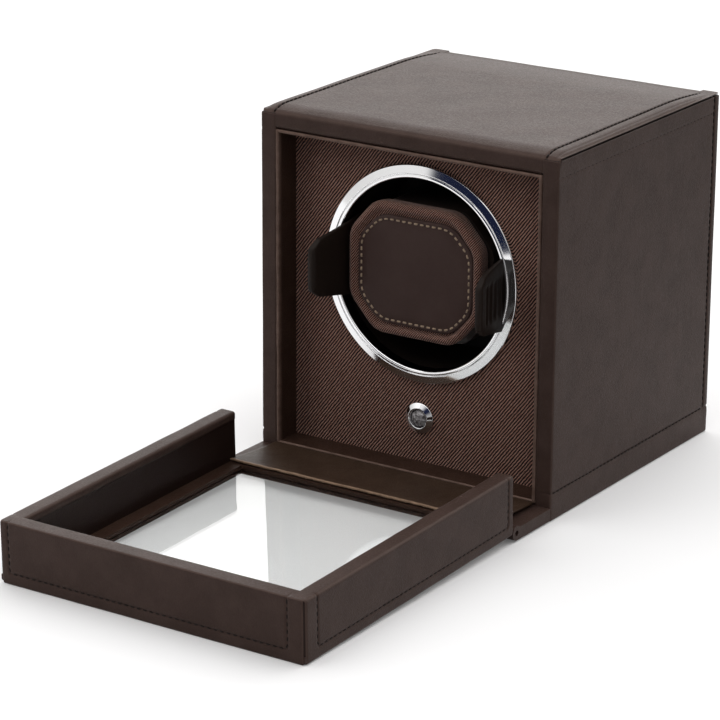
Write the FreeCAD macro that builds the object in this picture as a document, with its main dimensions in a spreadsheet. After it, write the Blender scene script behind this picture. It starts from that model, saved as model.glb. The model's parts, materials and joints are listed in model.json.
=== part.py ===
import FreeCAD, Part
import Sketcher
import math
import os

# A watch winder for one watch, in millimetres. +Z is up and -Y is the front.
# The origin is the centre of the case's footprint, on the surface it stands on.
# The lid is modelled open, lying in front of the case, as it rests.

Vector = FreeCAD.Vector
doc = FreeCAD.newDocument("watch_winder")

# Driving sizes: name, value, meaning
SIZES = (
    ("case_width", "150", "width over the top panel"),
    ("case_depth", "140", "depth of the case, front to back"),
    ("case_height", "160", "height of the case on its felt"),
    ("felt_thickness", "0.8", "felt sheet under the case"),
    ("felt_inset", "3", "felt edge in from the case edge"),
    ("side_thickness", "7.2", "side panel"),
    ("side_inset", "0.6", "side panel's face in from the top panel's edge"),
    ("top_thickness", "4.4", "padded top panel"),
    ("top_board_thickness", "3.6", "board between the sides, under the top panel"),
    ("bottom_thickness", "6.2", "bottom panel"),
    ("back_thickness", "6", "back panel"),
    ("leather_round", "1.8", "rounding of the leather-covered edges"),
    ("liner_thickness", "1.5", "frame round the recess"),
    ("liner_depth", "14", "depth of the recess, from the liner's front to the board"),
    ("liner_proud", "0.5", "liner's front ahead of the case front"),
    ("board_thickness", "3.5", "twill-covered front board"),
    ("fit_gap", "0.3", "clearance of loosely fitted pieces"),
    ("overrun", "1", "cutting outlines past the faces they cut"),
    ("ring_height", "94.3", "drum axis above the table"),
    ("ring_radius", "49", "outside of the chrome ring"),
    ("ring_opening", "43.2", "radius of the opening in the ring"),
    ("ring_sleeve_wall", "2.2", "wall of the ring's sleeve"),
    ("ring_proud", "2.5", "ring's crest ahead of the front board"),
    ("ring_crest", "1.8", "width of the crest"),
    ("ring_rim", "1.7", "thickness of the ring at its outer edge"),
    ("ring_lip", "1", "fall of the ring to its opening"),
    ("ring_sleeve_end", "0.4", "sleeve's end behind the front board"),
    ("button_height", "28.4", "button axis above the table"),
    ("button_ring_radius", "7.1", "outside of the button's ring"),
    ("button_ring_proud", "2", "crest of the button's ring ahead of the board"),
    ("button_ring_rim", "0.6", "thickness of the button's ring at its edge"),
    ("button_sleeve_radius", "5.5", "outside of the button's sleeve"),
    ("button_sleeve_end", "2", "sleeve's end behind the front board"),
    ("button_cap_radius", "3.85", "button's cap"),
    ("button_play", "0.25", "clearance round the cap"),
    ("button_cap_proud", "1.6", "cap's face ahead of the board"),
    ("button_cap_dome", "0.7", "height of the cap's dome"),
    ("button_cap_length", "6", "length of the cap's barrel"),
    ("button_stem_radius", "1.4", "stem behind the cap"),
    ("button_stem_gap", "1.5", "gap behind the stem of the pressed button"),
    ("button_travel", "1", "travel of the button"),
    ("switch_size", "13", "side of the square switch housing"),
    ("switch_depth", "10", "depth of the switch housing"),
    ("switch_chamber_end", "3.2", "wall behind the switch's chamber"),
    ("drum_gap", "0.6", "gap between the ring's sleeve and the drum"),
    ("drum_radius", "46.5", "outside of the drum"),
    ("drum_wall", "2", "drum wall and floor"),
    ("drum_depth", "40", "depth of the drum, outside"),
    ("drum_boss_radius", "9", "boss behind the drum"),
    ("drum_boss_length", "3", "length of the boss"),
    ("gear_size", "1", "gear module"),
    ("gear_teeth", "60", "teeth of the drum gear"),
    ("pinion_teeth", "12", "teeth of the pinion"),
    ("gear_width", "5", "face width of the drum gear"),
    ("pinion_overhang", "0.5", "pinion's ends beyond the gear's faces"),
    ("gear_play", "0.1", "extra centre distance of the gears"),
    ("tooth_play", "0.06", "thinning of each tooth flank"),
    ("shaft_radius", "3", "drum shaft"),
    ("fixed_fit", "0.01", "radial clearance of fixed fits"),
    ("running_fit", "0.05", "radial clearance of running fits"),
    ("chassis_gap", "2", "gap between the drum gear and the chassis boss"),
    ("chassis_boss_front", "6", "chassis boss ahead of the plate"),
    ("chassis_thickness", "3", "chassis plate"),
    ("chassis_boss_rear", "7", "chassis boss behind the plate"),
    ("chassis_boss_radius", "8", "chassis boss"),
    ("bush_radius", "5", "outside of the bushes"),
    ("bush_length", "6", "length of each bush"),
    ("clip_gap", "0.2", "gap between the rear bush and the clip"),
    ("clip_thickness", "1", "shaft clip"),
    ("clip_radius", "5.4", "outside of the shaft clip"),
    ("clip_mouth", "3.4", "width of the clip's open side"),
    ("groove_depth", "0.6", "depth of the clip's groove in the shaft"),
    ("shaft_tail", "0.8", "shaft's end behind the clip"),
    ("motor_shaft_radius", "1.5", "gearbox output shaft"),
    ("motor_shaft_reach", "6", "output shaft inside the gearbox"),
    ("shaft_hole_radius", "3.5", "hole in the chassis for the output shaft"),
    ("gearbox_radius", "12.5", "gearbox"),
    ("gearbox_length", "15", "gearbox"),
    ("motor_radius", "10", "motor can"),
    ("motor_length", "23", "motor can"),
    ("motor_screw_offset", "9", "motor screws from the output shaft"),
    ("motor_screw_radius", "1.2", "shank of the motor screws"),
    ("motor_screw_reach", "5", "motor screws inside the gearbox"),
    ("screw_head_radius", "2.2", "screw heads"),
    ("screw_head_height", "1.2", "screw heads"),
    ("screw_clearance", "0.05", "radial clearance of the screw holes"),
    ("circuit_width", "50", "circuit board"),
    ("circuit_height", "36", "circuit board"),
    ("circuit_thickness", "1.6", "circuit board"),
    ("circuit_x", "20", "centre of the circuit board from the middle"),
    ("circuit_z", "32", "centre of the circuit board above the table"),
    ("circuit_hole_inset", "4", "circuit board's holes from its edges"),
    ("spacer_height", "4.4", "spacers behind the circuit board"),
    ("spacer_radius", "2.5", "spacers"),
    ("circuit_screw_radius", "1.1", "shank of the circuit board's screws"),
    ("circuit_screw_reach", "3", "circuit board's screws inside the spacers"),
    ("chip_side", "12", "square chip"),
    ("chip_height", "2", "square chip"),
    ("capacitor_radius", "3", "capacitor"),
    ("capacitor_height", "8", "capacitor"),
    ("capacitor_spread", "4.5", "capacitors above and below the board's middle"),
    ("circuit_part_gap", "1", "gap between the chip and the cable header"),
    ("plug_socket_width", "12", "cable header on the circuit board"),
    ("plug_socket_height", "6", "cable header on the circuit board"),
    ("plug_socket_depth", "7", "cable header on the circuit board"),
    ("inlet_x", "-40", "power inlet from the middle"),
    ("inlet_z", "28", "power inlet above the table"),
    ("inlet_flange_radius", "7", "flange of the power inlet"),
    ("inlet_flange_thickness", "1.2", "flange of the power inlet"),
    ("inlet_barrel_radius", "5", "barrel of the power inlet"),
    ("inlet_length", "14", "length of the power inlet"),
    ("inlet_bore_radius", "2.75", "bore for the plug"),
    ("inlet_bore_depth", "9.5", "bore for the plug"),
    ("inlet_pin_radius", "1", "centre pin of the inlet"),
    ("inlet_pin_inset", "1", "pin's end in from the flange"),
    ("inlet_nut_width", "14", "nut of the power inlet, across flats"),
    ("inlet_nut_thickness", "2.5", "nut of the power inlet"),
    ("magnet_radius", "2.5", "magnets"),
    ("magnet_thickness", "3", "magnets"),
    ("magnet_drop", "20", "case magnets below the top of the case"),
    ("hinge_radius", "3.2", "hinge barrel and knuckles"),
    ("pin_radius", "1.25", "hinge pin"),
    ("pin_inset", "2", "pin's ends in from the hinge board's ends"),
    ("hinge_board_thickness", "5.4", "hinge board"),
    ("barrel_half_length", "54", "half of the hinge barrel"),
    ("barrel_gap", "0.5", "gap behind the barrel"),
    ("leaf_thickness", "1.2", "leaf of the lid's hinge"),
    ("leaf_reach", "7", "leaf from the hinge axis into the lid"),
    ("cover_thickness", "0.6", "flexible strip over the hinge"),
    ("cover_clearance", "0.2", "strip above the barrel"),
    ("lid_depth", "27.2", "depth of the lid"),
    ("closed_gap", "0.3", "gap between the closed lid and the case"),
    ("lid_floor_gap", "0.12", "far edge of the open lid above the table"),
    ("lid_near_gap", "4.4", "lid's near edge from the hinge axis"),
    ("lid_wall", "7.5", "walls of the lid"),
    ("face_thickness", "3.6", "frame round the window"),
    ("window_near", "5", "frame between the near edge and the window"),
    ("window_side", "14.7", "frame beside the window"),
    ("window_far", "15", "frame beyond the window"),
    ("rabbet_width", "3", "rabbet for the glass"),
    ("glass_thickness", "2", "glass"),
    ("glass_play", "0.3", "glass in from the rabbet's edges"),
    ("retainer_thickness", "1.6", "retainer over the glass"),
    ("retainer_play", "0.1", "retainer in from the walls"),
    ("pad_half_width", "33.8", "cuff pad"),
    ("pad_half_height", "30", "cuff pad"),
    ("pad_top_half", "20", "half of the pad's straight top edge"),
    ("pad_side_half", "14.4", "half of the pad's straight side edge"),
    ("pad_corner", "9", "rounding of the pad's corners"),
    ("pad_depth", "8.8", "thickness of the pad"),
    ("pad_draw", "2.6", "draw-in of the pad's front and back"),
    ("pad_corner_draw", "0.45", "shortening of the pad's straight edges for each unit drawn in"),
    ("pad_crest", "0.35", "share of the pad's thickness where it is widest"),
    ("plate_front", "8", "cuff plate's face behind the case front"),
    ("plate_thickness", "1.2", "cuff plate"),
    ("plate_half_width", "29.4", "cuff plate"),
    ("plate_half_height", "24.6", "cuff plate"),
    ("plate_top_half", "18", "half of the plate's straight top edge"),
    ("plate_side_half", "12.6", "half of the plate's straight side edge"),
    ("plate_corner", "9", "rounding of the plate's corners"),
    ("core_half_width", "33.6", "cuff core"),
    ("core_half_height", "29.8", "cuff core"),
    ("core_top_half", "19.9", "half of the core's straight top edge"),
    ("core_side_half", "14.3", "half of the core's straight side edge"),
    ("core_depth", "29", "cuff core, front to back"),
    ("tab_thickness", "2", "side tabs"),
    ("tab_tip_extra", "1.8", "extra thickness of the tab's tip, on its inner side"),
    ("tab_clearance", "3", "gap between the pad and a tab"),
    ("tab_flare", "4", "outward flare of the tab's tip"),
    ("tab_bow", "1.3", "outward flare half way to the tip"),
    ("tab_root", "22", "depth behind the case front where the flare starts"),
    ("tab_tip", "12", "tab's tip ahead of the case front"),
    ("tab_tip_half", "10.3", "half of the tip's straight edge"),
    ("tab_root_half", "18.2", "half height of the tab at its root"),
    ("tab_shoulder_half", "13", "half height of the tab near its tip"),
    ("tab_shoulder_y", "7", "shoulder of the tab ahead of the case front"),
    ("tab_corner", "3", "rounding of the tab's corners"),
    ("tab_travel", "1.2", "travel of a squeezed tab"),
    ("foot_half_height", "8", "half height of the tab's foot"),
    ("foot_socket_depth", "8", "depth of the foot's socket"),
    ("foot_socket_wall", "1.6", "wall of the foot's socket"),
    ("stem_width", "6", "tab's stem, front to back"),
    ("stem_half_height", "5", "half height of the tab's stem"),
    ("stem_reach", "10", "tab's stem from the tab's inner face"),
    ("stem_setback", "10", "stem behind the core's front"),
    ("spring_room", "12", "room for the tab's spring"),
    ("spring_radius", "2.2", "mean radius of the tab's springs"),
    ("spring_wire", "0.3", "radius of the spring wire"),
    ("spring_pitch", "1.6", "pitch of the tab's springs"),
    ("spring_seat", "0.05", "gap at each end of a spring"),
    ("button_spring_radius", "2.5", "mean radius of the button's spring"),
    ("button_spring_pitch", "1.4", "pitch of the button's spring"),
)

# Places worked out from the driving sizes: name, formula
PLACES = (
    ("front_y", "-sizes.case_depth / 2"),
    ("back_y", "sizes.case_depth / 2"),
    ("edge_x", "sizes.case_width / 2"),
    ("side_x", "edge_x - sizes.side_inset"),
    ("inner_x", "side_x - sizes.side_thickness"),
    ("floor_z", "sizes.felt_thickness + sizes.bottom_thickness"),
    ("top_line_z", "sizes.case_height - sizes.top_thickness"),
    ("ceiling_z", "top_line_z - sizes.top_board_thickness"),
    ("back_face_y", "back_y - sizes.back_thickness"),
    ("liner_front_y", "front_y - sizes.liner_proud"),
    ("board_y", "liner_front_y + sizes.liner_depth"),
    ("board_back_y", "board_y + sizes.board_thickness"),
    ("sleeve_radius", "sizes.ring_opening + sizes.ring_sleeve_wall"),
    ("sleeve_back_y", "board_back_y + sizes.ring_sleeve_end"),
    ("drum_front_y", "sleeve_back_y + sizes.drum_gap"),
    ("drum_back_y", "drum_front_y + sizes.drum_depth"),
    ("drum_floor_y", "drum_back_y - sizes.drum_wall"),
    ("gear_front_y", "drum_back_y + sizes.drum_boss_length"),
    ("gear_back_y", "gear_front_y + sizes.gear_width"),
    ("boss_front_y", "gear_back_y + sizes.chassis_gap"),
    ("chassis_y", "boss_front_y + sizes.chassis_boss_front"),
    ("chassis_back_y", "chassis_y + sizes.chassis_thickness"),
    ("boss_back_y", "chassis_back_y + sizes.chassis_boss_rear"),
    ("clip_y", "boss_back_y + sizes.clip_gap"),
    ("clip_back_y", "clip_y + sizes.clip_thickness"),
    ("shaft_back_y", "clip_back_y + sizes.shaft_tail"),
    ("groove_radius", "sizes.shaft_radius - sizes.groove_depth"),
    ("gear_distance", "sizes.gear_size * (sizes.gear_teeth + sizes.pinion_teeth) / 2 + sizes.gear_play"),
    ("motor_z", "sizes.ring_height - gear_distance"),
    ("gearbox_back_y", "chassis_back_y + sizes.gearbox_length"),
    ("motor_back_y", "gearbox_back_y + sizes.motor_length"),
    ("circuit_back_y", "back_face_y - sizes.spacer_height"),
    ("circuit_y", "circuit_back_y - sizes.circuit_thickness"),
    ("circuit_hole_x", "sizes.circuit_width / 2 - sizes.circuit_hole_inset"),
    ("circuit_hole_z", "sizes.circuit_height / 2 - sizes.circuit_hole_inset"),
    ("magnet_x", "(side_x + inner_x) / 2"),
    ("magnet_z", "sizes.case_height - sizes.magnet_drop"),
    ("hinge_z", "sizes.felt_thickness + sizes.hinge_radius"),
    ("hinge_y", "front_y - sizes.lid_depth - sizes.closed_gap"),
    ("hinge_board_top_z", "sizes.felt_thickness + sizes.hinge_board_thickness"),
    ("barrel_back_y", "hinge_y + sizes.hinge_radius + sizes.barrel_gap"),
    ("lid_reach", "sizes.case_height - hinge_z"),
    ("lid_tilt", "asin((hinge_z - sizes.lid_floor_gap) / lid_reach)"),
    ("lid_near_y", "-sizes.lid_near_gap"),
    ("wall_near_y", "-(lid_reach - sizes.lid_wall)"),
    ("wall_inner_x", "edge_x - sizes.lid_wall"),
    ("window_near_y", "lid_near_y - sizes.window_near"),
    ("window_far_y", "-(lid_reach - sizes.window_far)"),
    ("window_x", "edge_x - sizes.window_side"),
    ("rabbet_z", "sizes.face_thickness - sizes.glass_thickness"),
    ("retainer_top_z", "sizes.face_thickness + sizes.retainer_thickness"),
    ("lid_magnet_y", "-(magnet_z - hinge_z)"),
    ("plate_y", "front_y + sizes.plate_front"),
    ("pad_y", "plate_y + sizes.plate_thickness"),
    ("core_y", "pad_y + sizes.pad_depth"),
    ("core_back_y", "core_y + sizes.core_depth"),
    ("tab_x", "sizes.pad_half_width + sizes.tab_clearance"),
    ("tab_outer_x", "tab_x + sizes.tab_thickness"),
    ("tab_root_y", "front_y + sizes.tab_root"),
    ("tab_tip_y", "front_y - sizes.tab_tip"),
    ("foot_y", "drum_floor_y - sizes.fit_gap"),
    ("stem_y", "core_y + sizes.stem_setback"),
    ("stem_back_y", "stem_y + sizes.stem_width"),
    ("stem_x", "tab_x - sizes.stem_reach"),
    ("spring_end_x", "stem_x - sizes.spring_room"),
    ("cap_face_y", "board_y - sizes.button_cap_proud"),
    ("cap_back_y", "cap_face_y + sizes.button_cap_length"),
    ("chamber_back_y", "board_back_y + sizes.switch_depth - sizes.switch_chamber_end"),
    ("chamber_radius", "sizes.button_cap_radius + sizes.button_play"),
)


def fill_sheet(name, rows):
    """A spreadsheet with one named cell for each row."""
    sheet = doc.addObject("Spreadsheet::Sheet", name)
    for line, row in enumerate(rows, start=1):
        sheet.set(f"A{line}", row[0])
        sheet.set(f"B{line}", row[1])
        sheet.setAlias(f"B{line}", row[0])
        if len(row) > 2:
            sheet.set(f"C{line}", row[2])
    return sheet


sizes = fill_sheet("sizes", SIZES)
places = fill_sheet("places", [(name, "=" + formula) for name, formula in PLACES])
doc.recompute()
nodes = []


def number(expression):
    """The value of an expression of named cells."""
    found = places.evalExpression(expression)
    return float(getattr(found, "Value", found))


def node(item, name):
    """Registers a finished piece under its own name."""
    item.Label = name
    nodes.append(item)
    return item


def new_body(name):
    """A body that becomes the piece of this name."""
    return node(doc.addObject("PartDesign::Body", "Body"), name)


def plane_of(body, role):
    """One of the body's own origin planes."""
    return [item for item in body.Origin.OriginFeatures if item.Role == role + "_Plane"][0]


def pin_point(sketch, line, end, across, along):
    """Ties one end of a line to its place in the sketch."""
    for kind, expression in (("DistanceX", across), ("DistanceY", along)):
        row = sketch.addConstraint(Sketcher.Constraint(kind, -1, 1, line, end, number(expression)))
        sketch.setExpression(f"Constraints[{row}]", expression)


def draw_loop(sketch, corners):
    """A closed outline of straight lines through corners given as expressions."""
    spots = [Vector(number(across), number(along), 0) for across, along in corners]
    count = len(corners)
    first = sketch.GeometryCount
    for turn in range(count):
        sketch.addGeometry(Part.LineSegment(spots[turn], spots[(turn + 1) % count]), False)
    for turn in range(count):
        after = first + (turn + 1) % count
        sketch.addConstraint(Sketcher.Constraint("Coincident", first + turn, 2, after, 1))
    for turn, (across, along) in enumerate(corners):
        pin_point(sketch, first + turn, 1, across, along)


def draw_circle(sketch, across, along, radius):
    """A circle whose centre and radius are expressions."""
    centre = Vector(number(across), number(along), 0)
    line = sketch.addGeometry(Part.Circle(centre, Vector(0, 0, 1), number(radius)), False)
    pin_point(sketch, line, 3, across, along)
    row = sketch.addConstraint(Sketcher.Constraint("Radius", line, number(radius)))
    sketch.setExpression(f"Constraints[{row}]", radius)


def new_sketch(body, plane, level, origin, loops, circles):
    """A sketch on a plane of the body, moved along its normal to a level."""
    sketch = body.newObject("Sketcher::SketchObject", "outline")
    sketch.AttachmentSupport = [(plane_of(body, plane), "")]
    sketch.MapMode = "FlatFace"
    for axis, expression in zip("xyz", (origin[0], origin[1], level)):
        sketch.setExpression(f"AttachmentOffset.Base.{axis}", expression)
    doc.recompute()
    for corners in loops:
        draw_loop(sketch, corners)
    for across, along, radius in circles:
        draw_circle(sketch, across, along, radius)
    return sketch


def pad(body, plane, low, high, loops=(), circles=(), origin=("0", "0")):
    """Adds material over an outline between two levels of the plane's axis."""
    level = f"-({high})" if plane == "XZ" else low
    sketch = new_sketch(body, plane, level, origin, loops, circles)
    feature = body.newObject("PartDesign::Pad", "pad")
    feature.Profile = sketch
    feature.setExpression("Length", f"({high}) - ({low})")
    doc.recompute()
    return feature


def pocket(body, plane, low, high, loops=(), circles=(), origin=("0", "0")):
    """Cuts an outline out of the body between two levels of the plane's axis."""
    before = body.Shape.Volume
    level = f"-({low})" if plane == "XZ" else high
    sketch = new_sketch(body, plane, level, origin, loops, circles)
    feature = body.newObject("PartDesign::Pocket", "pocket")
    feature.Profile = sketch
    feature.setExpression("Length", f"({high}) - ({low})")
    doc.recompute()
    if body.Shape.Volume >= before:
        raise ValueError(f"a pocket of {body.Label} cuts nothing")
    return feature


def revolve(body, corners, height, across="0"):
    """Turns a profile of (y, radius) corners about a front-to-back axis."""
    sketch = new_sketch(body, "YZ", across, ("0", height), [corners], ())
    feature = body.newObject("PartDesign::Revolution", "turning")
    feature.Profile = sketch
    feature.ReferenceAxis = (sketch, ["H_Axis"])
    feature.Angle = 360
    doc.recompute()
    return feature


def round_edges(body, radius, wanted):
    """Fillets the edges of the body's last feature that the test picks."""
    base = body.Tip
    names = [f"Edge{row}" for row, edge in enumerate(base.Shape.Edges, start=1) if wanted(edge)]
    feature = body.newObject("PartDesign::Fillet", "rounding")
    feature.Base = (base, names)
    feature.setExpression("Radius", radius)
    doc.recompute()
    return feature


def lies_at(edge, axis, expression):
    """True where the whole edge lies at one coordinate."""
    place = number(expression)
    ends = (getattr(edge.BoundBox, axis + "Min"), getattr(edge.BoundBox, axis + "Max"))
    return max(abs(end - place) for end in ends) < 0.001


def runs_along(edge, axis):
    """True where a straight edge is parallel to an axis."""
    box = edge.BoundBox
    lengths = {"X": box.XLength, "Y": box.YLength, "Z": box.ZLength}
    run = lengths.pop(axis)
    return run > 0.001 and max(lengths.values()) < 0.001


def rectangle(left, right, low, high):
    """The four corners of an upright rectangle."""
    return [(left, low), (right, low), (right, high), (left, high)]


def octagon(half_width, half_height, top_half, side_half):
    """An eight-sided outline with bevelled corners, about the sketch's origin."""
    quarter = [(half_width, side_half), (top_half, half_height)]
    corners = []
    for side, level, order in (("", "", 1), ("-", "", -1), ("-", "-", 1), ("", "-", -1)):
        corners += [(f"{side}({a})", f"{level}({b})") for a, b in quarter[::order]]
    return corners


def block(left, right, front, back, low, high):
    """A box between six expressions."""
    item = doc.addObject("Part::Box", "block")
    for size, axis, start, end in (
        ("Length", "x", left, right),
        ("Width", "y", front, back),
        ("Height", "z", low, high),
    ):
        item.setExpression(size, f"({end}) - ({start})")
        item.setExpression(f"Placement.Base.{axis}", start)
    return item


def turn_about_x(item, angle):
    """Binds the item's rotation about the X axis."""
    item.setExpression("Placement.Rotation.Axis.x", "1")
    item.setExpression("Placement.Rotation.Axis.z", "0")
    item.setExpression("Placement.Rotation.Angle", angle)


def rod(radius, front, back, across, height):
    """A cylinder from front to back about an axis along +Y."""
    item = doc.addObject("Part::Cylinder", "rod")
    item.setExpression("Radius", radius)
    item.setExpression("Height", f"({back}) - ({front})")
    turn_about_x(item, "-90")
    for axis, place in (("x", across), ("y", front), ("z", height)):
        item.setExpression(f"Placement.Base.{axis}", place)
    return item


def upright(radius, low, high, across, along):
    """A cylinder about an axis along +Z."""
    item = doc.addObject("Part::Cylinder", "upright")
    item.setExpression("Radius", radius)
    item.setExpression("Height", f"({high}) - ({low})")
    for axis, place in (("x", across), ("y", along), ("z", low)):
        item.setExpression(f"Placement.Base.{axis}", place)
    return item


def joined(*items):
    """One solid from several that meet."""
    item = doc.addObject("Part::MultiFuse", "joined")
    item.Shapes = list(items)
    item.Refine = True
    doc.recompute()
    return item


def grouped(*items):
    """Separate solids kept together as one piece's group."""
    item = doc.addObject("Part::Compound", "group")
    item.Links = list(items)
    doc.recompute()
    return item


def carved(base, *tools):
    """The base with the tools cut away."""
    item = doc.addObject("Part::Cut", "carved")
    item.Base = base
    item.Tool = tools[0] if len(tools) == 1 else grouped(*tools)
    doc.recompute()
    return item


def mirrored(item, name):
    """The same piece on the other side of the middle plane."""
    twin = doc.addObject("Part::Mirroring", "mirrored")
    twin.Source = item
    twin.Normal = Vector(1, 0, 0)
    doc.recompute()
    return node(twin, name)


def set_on_lid(item):
    """Moves a piece from the lid's own axes to the open lid's place."""
    item.setExpression("Placement.Base.y", "places.hinge_y")
    item.setExpression("Placement.Base.z", "places.hinge_z")
    turn_about_x(item, "places.lid_tilt")
    doc.recompute()
    return item


def make_case():
    """The case's five boards, its felt and the magnets in its front edges."""
    felt = new_body("base_felt")
    felt_x = "places.side_x - sizes.felt_inset"
    felt_y = "places.back_y - sizes.felt_inset"
    pad(felt, "XY", "0", "sizes.felt_thickness", [rectangle(f"-({felt_x})", felt_x, f"-({felt_y})", felt_y)])

    side = new_body("case_side_right")
    outline = rectangle("places.front_y", "places.back_y", "sizes.felt_thickness", "places.top_line_z")
    pad(side, "YZ", "places.inner_x", "places.side_x", [outline])
    round_edges(
        side,
        "sizes.leather_round",
        lambda edge: lies_at(edge, "X", "places.side_x") and not lies_at(edge, "Z", "places.top_line_z"),
    )
    pocket(
        side,
        "XZ",
        "places.front_y",
        "places.front_y + sizes.magnet_thickness",
        circles=[("places.magnet_x", "places.magnet_z", "sizes.magnet_radius + sizes.fixed_fit")],
    )
    mirrored(side, "case_side_left")

    top = new_body("case_top")
    outline = rectangle("-places.edge_x", "places.edge_x", "places.front_y", "places.back_y")
    pad(top, "XY", "places.top_line_z", "sizes.case_height", [outline])
    round_edges(top, "sizes.leather_round", lambda edge: lies_at(edge, "Z", "sizes.case_height"))

    for name, low, high in (
        ("case_top_board", "places.ceiling_z", "places.top_line_z"),
        ("case_bottom", "sizes.felt_thickness", "places.floor_z"),
    ):
        board = new_body(name)
        outline = rectangle("-places.inner_x", "places.inner_x", "places.front_y", "places.back_y")
        pad(board, "XY", low, high, [outline])

    back = new_body("case_back")
    outline = rectangle("-places.inner_x", "places.inner_x", "places.floor_z", "places.ceiling_z")
    pad(back, "XZ", "places.back_face_y", "places.back_y", [outline])
    hole = ("sizes.inlet_x", "sizes.inlet_z", "sizes.inlet_barrel_radius + sizes.fixed_fit")
    seat = ("sizes.inlet_x", "sizes.inlet_z", "sizes.inlet_flange_radius + sizes.fixed_fit")
    pocket(back, "XZ", "places.back_face_y", "places.back_y", circles=[hole])
    pocket(back, "XZ", "places.back_y - sizes.inlet_flange_thickness", "places.back_y", circles=[seat])

    discs = [
        rod(
            "sizes.magnet_radius",
            "places.front_y",
            "places.front_y + sizes.magnet_thickness",
            f"{side}places.magnet_x",
            "places.magnet_z",
        )
        for side in ("", "-")
    ]
    node(grouped(*discs), "case_magnets")


def make_front():
    """The liner, the twill-covered board and the two chrome rings."""
    liner = new_body("liner_frame")
    outer = rectangle("-places.inner_x", "places.inner_x", "places.floor_z", "places.ceiling_z")
    inner_edge = "places.inner_x - sizes.liner_thickness"
    inner = rectangle(
        f"-({inner_edge})",
        inner_edge,
        "places.floor_z + sizes.liner_thickness",
        "places.ceiling_z - sizes.liner_thickness",
    )
    pad(liner, "XZ", "places.liner_front_y", "places.board_y", [outer, inner])

    board = new_body("front_panel")
    holes = [
        ("0", "sizes.ring_height", "places.sleeve_radius + sizes.fixed_fit"),
        ("0", "sizes.button_height", "sizes.button_sleeve_radius + sizes.fixed_fit"),
    ]
    pad(board, "XZ", "places.board_y", "places.board_back_y", [outer], holes)

    ring = new_body("bezel_ring")
    crest_y = "places.board_y - sizes.ring_proud"
    lip_radius = "sizes.ring_opening"
    revolve(
        ring,
        [
            ("places.board_y", "sizes.ring_radius"),
            ("places.board_y - sizes.ring_rim", "sizes.ring_radius"),
            (crest_y, "sizes.ring_opening + sizes.ring_crest"),
            (crest_y, "sizes.ring_opening + sizes.ring_crest / 2"),
            (f"{crest_y} + sizes.ring_lip", lip_radius),
            ("places.sleeve_back_y", lip_radius),
            ("places.sleeve_back_y", "places.sleeve_radius"),
            ("places.board_y", "places.sleeve_radius"),
        ],
        "sizes.ring_height",
    )

    ring = new_body("button_ring")
    crest_y = "places.board_y - sizes.button_ring_proud"
    sleeve_back = "places.board_back_y + sizes.button_sleeve_end"
    revolve(
        ring,
        [
            ("places.board_y", "sizes.button_ring_radius"),
            ("places.board_y - sizes.button_ring_rim", "sizes.button_ring_radius"),
            (crest_y, "sizes.button_sleeve_radius"),
            (crest_y, "places.chamber_radius"),
            (sleeve_back, "places.chamber_radius"),
            (sleeve_back, "sizes.button_sleeve_radius"),
            ("places.board_y", "sizes.button_sleeve_radius"),
        ],
        "sizes.button_height",
    )


def make_button():
    """The button's clear cap, its spring and the switch housing."""
    cap = new_body("button_cap")
    stem_back = "places.chamber_back_y - sizes.button_stem_gap - sizes.button_travel"
    revolve(
        cap,
        [
            ("places.cap_face_y", "0"),
            ("places.cap_face_y", "sizes.button_cap_radius - sizes.button_cap_dome"),
            ("places.cap_face_y + sizes.button_cap_dome", "sizes.button_cap_radius"),
            ("places.cap_back_y", "sizes.button_cap_radius"),
            ("places.cap_back_y", "sizes.button_stem_radius"),
            (stem_back, "sizes.button_stem_radius"),
            (stem_back, "0"),
        ],
        "sizes.button_height",
    )

    housing = new_body("switch_housing")
    half = "sizes.switch_size / 2"
    back = "places.board_back_y + sizes.switch_depth"
    square = rectangle(f"-{half}", half, f"sizes.button_height - {half}", f"sizes.button_height + {half}")
    pad(housing, "XZ", "places.board_back_y", back, [square])
    chamber = ("0", "sizes.button_height", "places.chamber_radius")
    collar = ("0", "sizes.button_height", "sizes.button_sleeve_radius + sizes.fixed_fit")
    pocket(housing, "XZ", "places.board_back_y", "places.chamber_back_y", circles=[chamber])
    collar_end = "places.board_back_y + sizes.button_sleeve_end"
    pocket(housing, "XZ", "places.board_back_y", collar_end, circles=[collar])

    make_spring(
        "button_spring",
        "sizes.button_spring_radius",
        "sizes.button_spring_pitch",
        "places.chamber_back_y - places.cap_back_y",
        Vector(0, number("places.chamber_back_y"), number("sizes.button_height")),
        FreeCAD.Rotation(Vector(1, 0, 0), 90),
    )


def set_shape(name, shape, placement=None):
    """A piece whose shape is worked out by its own formula."""
    item = doc.addObject("Part::Feature", "shaped")
    item.Shape = shape
    if placement is not None:
        item.Placement = placement
    return node(item, name)


def make_spring(name, radius, pitch, room, start, turn):
    """A helical spring that fills a room along its own axis, its wire just clear of both ends."""
    wire = number("sizes.spring_wire")
    seat = wire + number("sizes.spring_seat")
    path = Part.Wire(Part.makeHelix(number(pitch), number(room) - 2 * seat, number(radius)))
    section = Part.makeCircle(wire, Vector(number(radius), 0, 0), Vector(0, 1, 0))
    coil = path.makePipeShell([Part.Wire(section)], True, True)
    first_coil = FreeCAD.Placement(Vector(0, 0, seat), FreeCAD.Rotation())
    return set_shape(name, coil, FreeCAD.Placement(start, turn).multiply(first_coil))


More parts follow.
